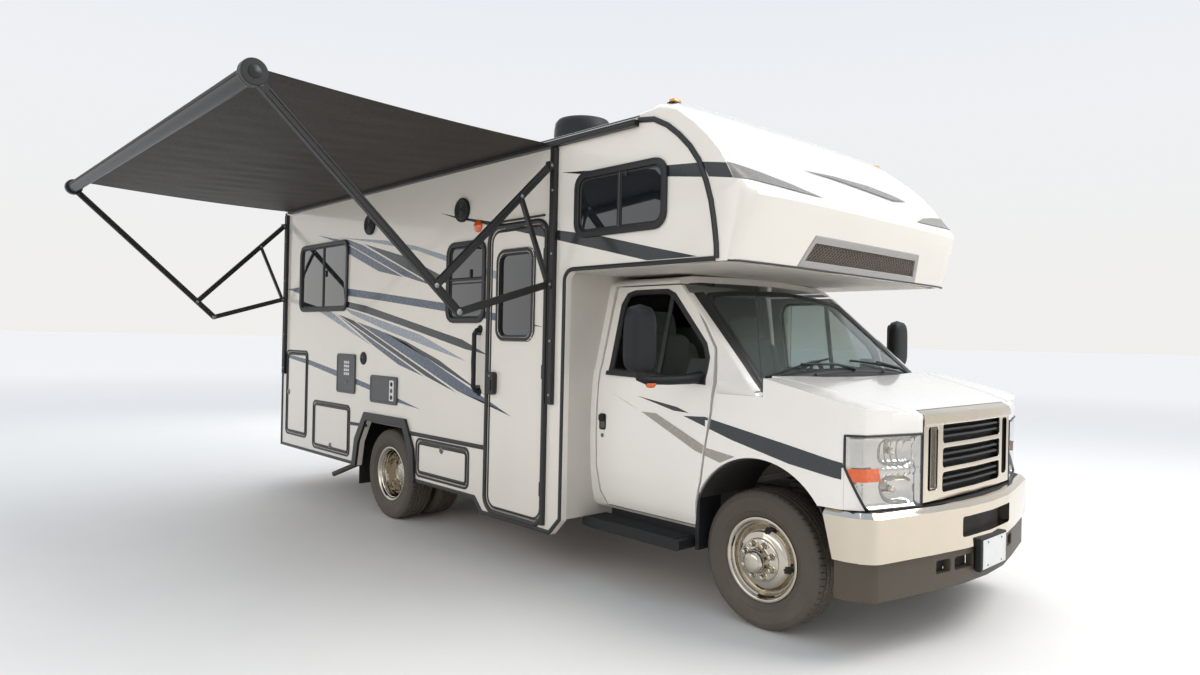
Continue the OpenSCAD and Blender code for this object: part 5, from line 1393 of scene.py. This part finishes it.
def cowl_and_wipers():
    """Black cowl between hood and glass, two wipers, washer jets and the aerial."""
    shape = Shape()
    top = face_tree("hood", "front_fenders", "cab_shell")
    rows = []
    for y in spread(-0.885, 0.885, 48):
        x = between(HOOD_REAR, abs(y))
        hit = drop(top, x + 0.012, y)
        z = hit.z if hit else 1.30
        edge = glass_point(y, 0.045, 0.005)
        rows.append([(x - 0.004, y, z - 0.012), (x - 0.010, y, z - 0.003), (x - 0.022, y, z - 0.004),
                     ((x + edge.x) / 2 - 0.004, y, (z + edge.z) / 2 - 0.010),
                     (edge.x + 0.012, y, edge.z - 0.016), tuple(edge), tuple(glass_point(y, 0.058, 0.0012))])
    shape.grid(rows)
    for y in (-0.46, 0.30):
        middle = glass_point(y, 0.016, 0.016)
        shape.turned([(0.011, -0.006), (0.010, 0.004), (0.005, 0.008), (0.0, 0.009)],
                     middle, GLASS_OUT, 14, 1)
    shape.make("windshield_cowl", [BLACK_PLASTIC, BLACK_TRIM], slot="black_plastic", sharp=55)
    wipers = Shape()
    for pivot, start, end in (((-0.03, 0.045), (-0.84, 0.065), (-0.20, 0.135)),
                              ((0.74, 0.045), (0.02, 0.115), (0.62, 0.075))):
        blade = [glass_point(start[0] + (end[0] - start[0]) * u, start[1] + (end[1] - start[1]) * u, 0.013)
                 for u in spread(0, 1, 12)]
        wipers.tube(blade, 0.0045, 8)
        wipers.tube([p - GLASS_OUT * 0.008 for p in blade], 0.0032, 8)
        middle = blade[6] + GLASS_OUT * 0.006
        base = glass_point(*pivot, 0.012)
        knee = glass_point(pivot[0] + (start[0] + end[0] - 2 * pivot[0]) * 0.16, pivot[1] + 0.028, 0.022)
        wipers.tube([base, knee, middle + GLASS_OUT * 0.010, middle], [0.010, 0.008, 0.0055, 0.005], 8)
        wipers.turned([(0.017, -0.014), (0.017, 0.004), (0.011, 0.010), (0.0, 0.011)], base, GLASS_OUT, 18)
    wipers.make("wipers", [BLACK_TRIM], slot="black_metal")
    aerial = Shape()
    foot = drop(top, -0.060, -0.860)
    aerial.turned([(0.024, -0.010), (0.022, 0.006), (0.013, 0.014), (0.008, 0.030), (0.0, 0.031)], foot,
                  (0, -0.15, 1), 20)
    aerial.tube([foot + Vector((0, 0, 0.02)), foot + Vector((-0.02, -0.012, 0.27)),
                 foot + Vector((-0.04, -0.02, 0.52))], [0.0022, 0.0018, 0.0014], 8)
    aerial.make("aerial", [BLACK_TRIM], slot="black_metal")


def mirrors():
    """Mirror heads on low arms, with their glass and side lamps."""
    for label, side in SIDES.items():
        head = Shape()
        middle = Vector((-0.445, side * 1.425, 1.525))
        rows = []
        for v in spread(0, 1, 22):
            swell = (1 - abs(2 * v - 1) ** 5) ** 0.42
            narrow = 1 - 0.10 * v
            ring = []
            for k in range(36):
                a = 2 * math.pi * k / 36
                c, s = math.cos(a), math.sin(a)
                x = math.copysign(abs(c) ** 0.62, c) * (0.058 if c > 0 else 0.036) * swell
                y = math.copysign(abs(s) ** 0.42, s) * 0.103 * swell * narrow
                ring.append((middle.x + x, middle.y + y, middle.z + (v - 0.5) * 0.366))
            rows.append(ring)
        head.loft(rows)
        face = rounded((-0.082, -0.150, 0.082, 0.150), 0.035)
        head.loft([[(middle.x - 0.0365, middle.y + y, middle.z + z) for y, z in face],
                   [(middle.x - 0.0385, middle.y + y * 0.97, middle.z + z * 0.98) for y, z in face]], 1)
        door_y = side * (between(CAB_SIDE, 1.33) - 0.010)
        arm = [(-0.395, door_y, 1.320), (-0.400, side * 1.06, 1.308), (-0.425, side * 1.20, 1.302),
               (-0.440, side * 1.37, 1.305), (-0.442, side * 1.415, 1.318), (-0.443, side * 1.425, 1.370)]
        head.tube(arm, [0.034, 0.030, 0.026, 0.024, 0.024, 0.026], 16)
        head.turned([(0.030, -0.008), (0.029, 0.006), (0.022, 0.016), (0.0, 0.020)],
                    (-0.428, side * 1.345, 1.282), (0, 0, -1), 20, 2)
        piece = head.make(f"mirror_{label}_head", [BLACK_PLASTIC, MIRROR_FACE, AMBER], f"cab_door_{label}",
                          "black_plastic", sharp=45)
        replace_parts(piece, f"mirror_{label}")


def cab_fittings():
    """Door handles, keyholes, ribs of the running boards and splash guards behind the front wheels."""
    for label, side in SIDES.items():
        shape = Shape()
        y = between(CAB_SIDE, 1.0)

        def plate(box, r, out0, out1, finish_index=0, side=side, y=y):
            shape.loft([[(x, side * (y + out), z) for x, z in rounded(box, r)] for out in (out0, out1)],
                       finish_index)

        plate((-1.184, 0.950, -1.126, 1.052), 0.016, -0.004, 0.005)
        plate((-1.174, 0.962, -1.136, 1.004), 0.010, 0.004, 0.007, 1)
        plate((-1.177, 1.006, -1.133, 1.046), 0.010, 0.004, 0.020)
        shape.turned([(0.013, -0.003), (0.013, 0.003), (0.008, 0.0045), (0.0, 0.004)],
                     (-1.155, side * (y + 0.001), 0.915), (0, side, 0), 20, 1)
        shape.make(f"cab_door_handle_{label}", [BLACK_PLASTIC, DARK_CHROME], f"cab_door_{label}",
                   "black_plastic", bevel=0.002)
    ribs = Shape()
    for side in SIDES.values():
        for k in range(9):
            y = side * (0.925 + 0.017 * k)
            ribs.tube([(-1.205, y, 0.4055), (-0.470, y, 0.4055)], 0.0045, 6)
    ribs.make("running_board_ribs", [BLACK_PLASTIC], slot="black_plastic")
    guards = Shape()
    outline = [(-0.414, 0.345), (-0.386, 0.345), (-0.384, 0.610), (-0.384, 0.655), (-0.390, 0.655),
               (-0.399, 0.612), (-0.413, 0.478)]
    for side in SIDES.values():
        guards.loft([[(x, side * y, z) for x, z in outline] for y in (0.780, 0.974)])
    guards.make("splash_guards", [BLACK_PLASTIC], slot="black_plastic", bevel=0.003)


def cab_seat_pads():
    """Padded cushions, backs and headrests."""
    lean = Matrix.Rotation(math.radians(-12), 3, "Y")
    for label, side in SIDES.items():
        hip = Vector((-1.040, side * 0.480, 0.945))
        shape = Shape()
        shape.pillow((-0.820, side * 0.480, 0.890), (0.500, 0.520, 0.170), 0.36, 40, 20)
        shape.pillow(hip + lean @ Vector((0.010, 0, 0.300)), (0.150, 0.500, 0.640), 0.36, 40, 24, turn=lean)
        shape.pillow(hip + lean @ Vector((0.010, 0, 0.690)), (0.105, 0.250, 0.170), 0.45, 32, 16, turn=lean)
        for e in (-1, 1):
            shape.pillow(hip + lean @ Vector((0.045, e * 0.215, 0.290)), (0.130, 0.090, 0.540),
                         0.5, 24, 16, turn=lean)
            shape.pillow((-0.820, side * 0.480 + e * 0.228, 0.905), (0.460, 0.085, 0.165), 0.5, 24, 14)
            post = [hip + lean @ Vector((0.010, e * 0.050, z)) for z in (0.58, 0.66)]
            shape.tube(post, 0.007, 8, 1)
        shape.block((-1.015, side * 0.480 - 0.215, 0.702), (-0.665, side * 0.480 + 0.215, 0.830), 2)
        piece = shape.make(f"cab_seat_{label}", [SEAT_CLOTH, DARK_CHROME, BLACK_PLASTIC],
                           slot="seat_fabric", sharp=50)
        if side == RIGHT:
            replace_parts(piece, "cab_seats")


# Front cap

# middle and side lines of the cap's face [z, x], and the share of the middle line across it [y, share]
CAP_MIDDLE = [(1.930, 0.035), (2.050, 0.080), (2.150, 0.120), (2.262, 0.150)]
CAP_SIDE = [(1.930, -0.030), (2.050, -0.010), (2.160, 0.005), (2.260, 0.020)]
CAP_SHARE = [(0.0, 1.0), (0.300, 1.0), (0.600, 0.98), (0.850, 0.93), (1.000, 0.86), (1.090, 0.76),
             (1.150, 0.64), (1.190, 0.48), (1.235, 0.0)]
CAP_INSERT = [(-0.660, 1.960), (0.660, 1.960), (0.600, 2.085), (-0.600, 2.085)]


def cap_face(y, z, lift=0.0):
    share = between(CAP_SHARE, abs(y))
    x = between(CAP_SIDE, z) * (1 - share) + between(CAP_MIDDLE, z) * share
    return x + lift, y, z - 0.3 * lift


def cap_insert():
    """Mesh panel in the front of the cap, with its bezel."""
    shape = Shape()
    low, high = CAP_INSERT[0][1], CAP_INSERT[2][1]

    def half(z):
        return between([(low, CAP_INSERT[1][0]), (high, CAP_INSERT[2][0])], z)

    rows = []
    for z in spread(low, high, 6):
        rows.append([cap_face(y, z, -0.012) for y in spread(-half(z), half(z), 30)])
    shape.grid(rows, 0)
    pitch = 0.032
    count = int((2 * half(low) + high - low) / pitch)
    for lean in (-1, 1):
        for k in range(-count, count + 1):
            points = []
            for z in spread(low, high, 5):
                y = k * pitch + lean * (z - low) * 1.15
                if abs(y) < half(z) - 0.004:
                    points.append(cap_face(y, z, -0.009))
            if len(points) > 2:
                shape.tube(points, 0.0030, 6, 1)
    bezel = [(-0.014, -0.016), (-0.014, 0.001), (-0.004, 0.005), (0.020, 0.005), (0.026, 0.0)]
    path = divided(CAP_INSERT, 0.06)
    shape.grid(edge_band(path, [(-c, lift) for c, lift in bezel], cap_face), 2, wrap_rows=True)
    shape.make("cap_insert", [BRONZE_BACK, INSERT_MESH, BEZEL], slot="grey_plastic", sharp=40)


CAP_STRIPE_LIFT = 0.004


def lay_on_cap(outline, tree, shape, finish_index, step=0.015):
    """A stripe on the cap: its [y, z] outline is thrown on from the front."""
    points, faces = cut_flat(outline, step=step)
    laid, good = [], set()
    for k, p in enumerate(points):
        hit, normal, *_ = tree.ray_cast(Vector((1.0, p.x, p.z)), Vector((-1, 0, 0)))
        if hit:
            good.add(k)
            laid.append(hit + normal * CAP_STRIPE_LIFT * (1 if normal.x > 0 else -1))
        else:
            laid.append(Vector((0, p.x, p.z)))
    shape.add(laid, [f for f in faces if all(k in good for k in f)], finish_index)


# strokes on the front of the cap [y, z], right half of each pair first
CAP_BAND = [(-1.2345, 2.430), (-1.000, 2.405), (-0.780, 2.372), (-0.560, 2.318), (-0.800, 2.322),
            (-1.020, 2.330), (-1.2345, 2.343)]
CAP_STROKE = [(-0.430, 2.526), (-0.050, 2.552), (0.375, 2.556), (0.660, 2.530), (0.800, 2.500),
              (0.560, 2.482), (0.175, 2.512), (-0.110, 2.528)]
CAP_STROKE_EDGE = [(-0.430, 2.524), (-0.110, 2.526), (0.175, 2.510), (0.560, 2.480), (0.800, 2.498),
                   (0.560, 2.470), (0.175, 2.500), (-0.110, 2.519)]


def cap_details():
    """Stripes, marker lamps and the lower seam of the cap."""
    tree = face_tree("front_cap")
    stripes = Shape()
    side_band = [(-0.200, 2.456), (-0.040, 2.428), (0.007, 2.345), (-0.150, 2.371)]
    for side in SIDES.values():
        stripes.add(*lay_on_side(*cut_flat(side_band, step=0.015), side, tree), 0)
        lay_on_cap([(side * -y, z) for y, z in CAP_BAND], tree, stripes, 1)
    lay_on_cap(CAP_STROKE, tree, stripes, 1)
    lay_on_cap(CAP_STROKE_EDGE, tree, stripes, 0)
    stripes.make("cap_stripes", [DARK_SLATE, CAP_GREY], slot="coach_skin", sharp=70)
    lamps = Shape()
    for x, y in ((-0.49, -1.13), (-0.60, -0.20), (-0.60, 0.0), (-0.60, 0.20), (-0.49, 1.13)):
        hit = drop(tree, x, y)
        lamps.pillow(hit + Vector((0, 0, 0.006)), (0.046, 0.075, 0.036), 0.55, 20, 12, 0)
        lamps.pillow(hit + Vector((0, 0, -0.004)), (0.058, 0.088, 0.014), 0.4, 20, 8, 1)
    lamps.make("marker_lamps", [MARKER_AMBER, BLACK_PLASTIC], slot="lamp_glass")
    seam = Shape()
    path = [cap_face(y, 1.933, 0.001) for y in spread(-1.228, 1.228, 80)]
    seam.tube(path, 0.0055, 8)
    seam.make("cap_seam", [BLACK_TRIM], slot="black_plastic")


# Roof and rear

def roof_details():
    """Louvres of the air conditioner, vent lids, a drum-shaped vent cover and the roof's edge trims."""
    shape = Shape()
    top = face_tree("roof_fittings", "coach_roof")
    for side in SIDES.values():
        for k in range(7):
            z = ROOF_Z + 0.045 + 0.022 * k
            shape.tube([(REAR_AXLE_X - 0.30, side * 0.332, z),
                        (REAR_AXLE_X + 0.22, side * 0.332, z)], 0.006, 6)
    shape.pillow((REAR_AXLE_X + 0.02, 0, ROOF_Z + 0.238), (0.56, 0.50, 0.030), 0.3, 32, 8)
    for x, y in ((-4.75, 0.0), (-2.55, 0.35)):
        hit = drop(top, x, y)
        shape.pillow(hit + Vector((0, 0, 0.035)), (0.40, 0.40, 0.075), 0.25, 36, 10, 1)
        shape.pillow(hit + Vector((0, 0, 0.075)), (0.37, 0.37, 0.045), 0.35, 36, 8, 1)
    top_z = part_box("roof_fittings")[1].z
    drum = [(0.0, 0.0), (0.150, -0.003), (0.185, -0.012), (0.203, -0.036), (0.210, -0.080), (0.218, -0.270)]
    shape.turned(drum, (-1.860, -0.600, top_z), (0, 0, 1), 48)
    shape.make("roof_details", [BLACK_PLASTIC, ROOF_SKIN], slot="black_plastic")
    seams = Shape()
    for y in (-WALL_Y + 0.010, WALL_Y - 0.010):
        seams.tube([(REAR_X + 0.01, y, 2.781), (-0.665, y, 2.781)], 0.009, 8)
    seams.tube([(REAR_X - 0.001, y, 2.765) for y in spread(-WALL_Y + 0.01, WALL_Y - 0.01, 6)], 0.010, 8)
    seams.make("roof_edge_trims", [BLACK_TRIM], slot="black_plastic")


def rear_details():
    """Lenses and surrounds of the tail lamps, red markers and step tread."""
    shape = Shape()
    for side in SIDES.values():
        for y0, y1, finish_index in ((0.893, 0.985, 2), (0.995, 1.085, 1), (1.095, 1.167, 0)):
            outline = rounded((y0, 0.785, y1, 0.935), 0.018)
            shape.loft([[(REAR_X - out, side * y, z) for y, z in outline] for out in (0.026, 0.035)],
                       finish_index)
        path = rounded((0.872, 0.752, 1.188, 0.968), 0.046)
        rows = edge_band(path, crowned(0.020, 0.033), lambda y, z, out: (REAR_X - out, side * y, z))
        shape.grid(rows, 3, wrap_rows=True, wrap_points=True)
    for y in (-1.05, -0.20, 0.0, 0.20, 1.05):
        shape.pillow((REAR_X - 0.006, y, 2.690), (0.036, 0.110, 0.040), 0.5, 20, 10, 0)
    shape.make("rear_lamps", [RED_LENS, AMBER, PLATE_WHITE, BLACK_TRIM], slot="red_lamp")
    tread = Shape()
    for k in range(4):
        x = REAR_X - 0.040 - 0.022 * k
        z = 0.480 + (REAR_X - x) * 0.625
        tread.tube([(x, -1.150, z + 0.002), (x, 1.150, z + 0.002)], 0.004, 6)
    tread.make("rear_step_tread", [BLACK_PLASTIC], slot="black_plastic")


# Studio

def studio():
    """Pale floor, soft lights and the camera at the photograph's view."""
    mesh = bpy.data.meshes.new("floor")
    size = 400.0
    mesh.from_pydata([(-size, -size, 0), (size, -size, 0), (size, size, 0), (-size, size, 0)], [],
                     [[0, 1, 2, 3]])
    floor = bpy.data.objects.new("floor", mesh)
    bpy.context.scene.collection.objects.link(floor)
    pale = finish("pale floor", (0.84, 0.80, 0.745), (0.6, 0.7), dust=0.0, mottle=0.02, bump=0.02,
                  Emission_Strength=1.0)
    surface = pale.node_tree
    spot = add_node(surface, "ShaderNodeTexCoord")
    away = add_node(surface, "ShaderNodeVectorMath", operation="LENGTH")
    surface.links.new(spot.outputs["Object"], away.inputs[0])
    far = add_node(surface, "ShaderNodeMapRange", **{"From Min": 5.0, "From Max": 26.0})
    surface.links.new(away.outputs["Value"], far.inputs["Value"])
    glow = add_node(surface, "ShaderNodeValToRGB")
    glow.color_ramp.elements[0].color = (0, 0, 0, 1)
    glow.color_ramp.elements[1].color = (0.275, 0.245, 0.225, 1)
    surface.links.new(far.outputs["Result"], glow.inputs["Fac"])
    surface.links.new(glow.outputs["Color"], surface.nodes["Principled BSDF"].inputs["Emission Color"])
    mesh.materials.append(pale)

    world = bpy.data.worlds.new("studio")
    bpy.context.scene.world = world
    world.use_nodes = True
    tree = world.node_tree
    link = tree.links.new
    place = add_node(tree, "ShaderNodeTexCoord")
    split = add_node(tree, "ShaderNodeSeparateXYZ")
    link(place.outputs["Generated"], split.inputs[0])
    sky = add_node(tree, "ShaderNodeValToRGB")
    link(split.outputs["Z"], sky.inputs["Fac"])
    sky.color_ramp.elements[0].color = (0.98, 0.965, 0.94, 1)
    sky.color_ramp.elements[1].color = (0.62, 0.78, 1.0, 1)
    sky.color_ramp.elements.new(0.30).color = (0.95, 0.97, 1.0, 1)
    back = tree.nodes["Background"]
    link(sky.outputs["Color"], back.inputs["Color"])
    back.inputs["Strength"].default_value = 0.9

    def area(name, place, aim, size, power, colour=(1, 1, 1)):
        lamp = bpy.data.lights.new(name, "AREA")
        lamp.shape = "RECTANGLE"
        lamp.size, lamp.size_y = size
        lamp.energy = power
        lamp.color = colour
        light = bpy.data.objects.new(name, lamp)
        bpy.context.scene.collection.objects.link(light)
        light.location = Vector(place) + AXLE
        light.rotation_euler = (Vector(aim) - Vector(place)).to_track_quat("-Z", "Y").to_euler()

    area("front softbox", (4.5, 3.5, 8.5), (-0.8, 0.0, 1.8), (6, 5), 620, (1.0, 0.985, 0.96))
    area("side softbox", (-1.5, -9.5, 4.0), (-2.6, 0.0, 1.4), (9, 4), 130, (1.0, 0.94, 0.86))
    area("overhead softbox", (-3.0, 0.5, 9.0), (-3.0, 0.0, 1.0), (9, 6), 240)
    area("rear softbox", (-10.5, 3.5, 5.0), (-3.0, 0.0, 1.5), (5, 4), 150)

    azimuth, pitch, roll = math.radians(47.016), math.radians(-0.135), math.radians(1.198)
    right = Vector((math.cos(azimuth), math.sin(azimuth), 0))
    ahead = Vector((-math.sin(azimuth) * math.cos(pitch), math.cos(azimuth) * math.cos(pitch),
                    -math.sin(pitch)))
    up = right.cross(ahead)
    across = right * math.cos(roll) + up * math.sin(roll)
    above = up * math.cos(roll) - right * math.sin(roll)
    camera = bpy.data.objects.new("camera", bpy.data.cameras.new("camera"))
    camera.data.sensor_width = 36.0
    camera.data.lens = 23.834
    camera.data.clip_end = 900
    bpy.context.scene.collection.objects.link(camera)
    place = Vector((2.4835, -4.4355, 1.5167)) + AXLE
    camera.matrix_world = Matrix.Translation(place) @ Matrix((across, above, -ahead)).transposed().to_4x4()
    bpy.context.scene.camera = camera
    bpy.context.scene.view_settings.view_transform = "Standard"


studio()
awning_cloth()
dress_solids()
wheels()
awning_fittings()
coach_trims()
window_details()
lid_details()
entry_door_details()
side_details()
wall_stripes()
cab_stripes()
headlamps()
fender_corners()
grille_details()
bumper_details()
glass_seals()
windshield_pillars()
cowl_and_wipers()
mirrors()
cab_fittings()
cab_seat_pads()
cap_insert()
cap_details()
roof_details()
rear_details()
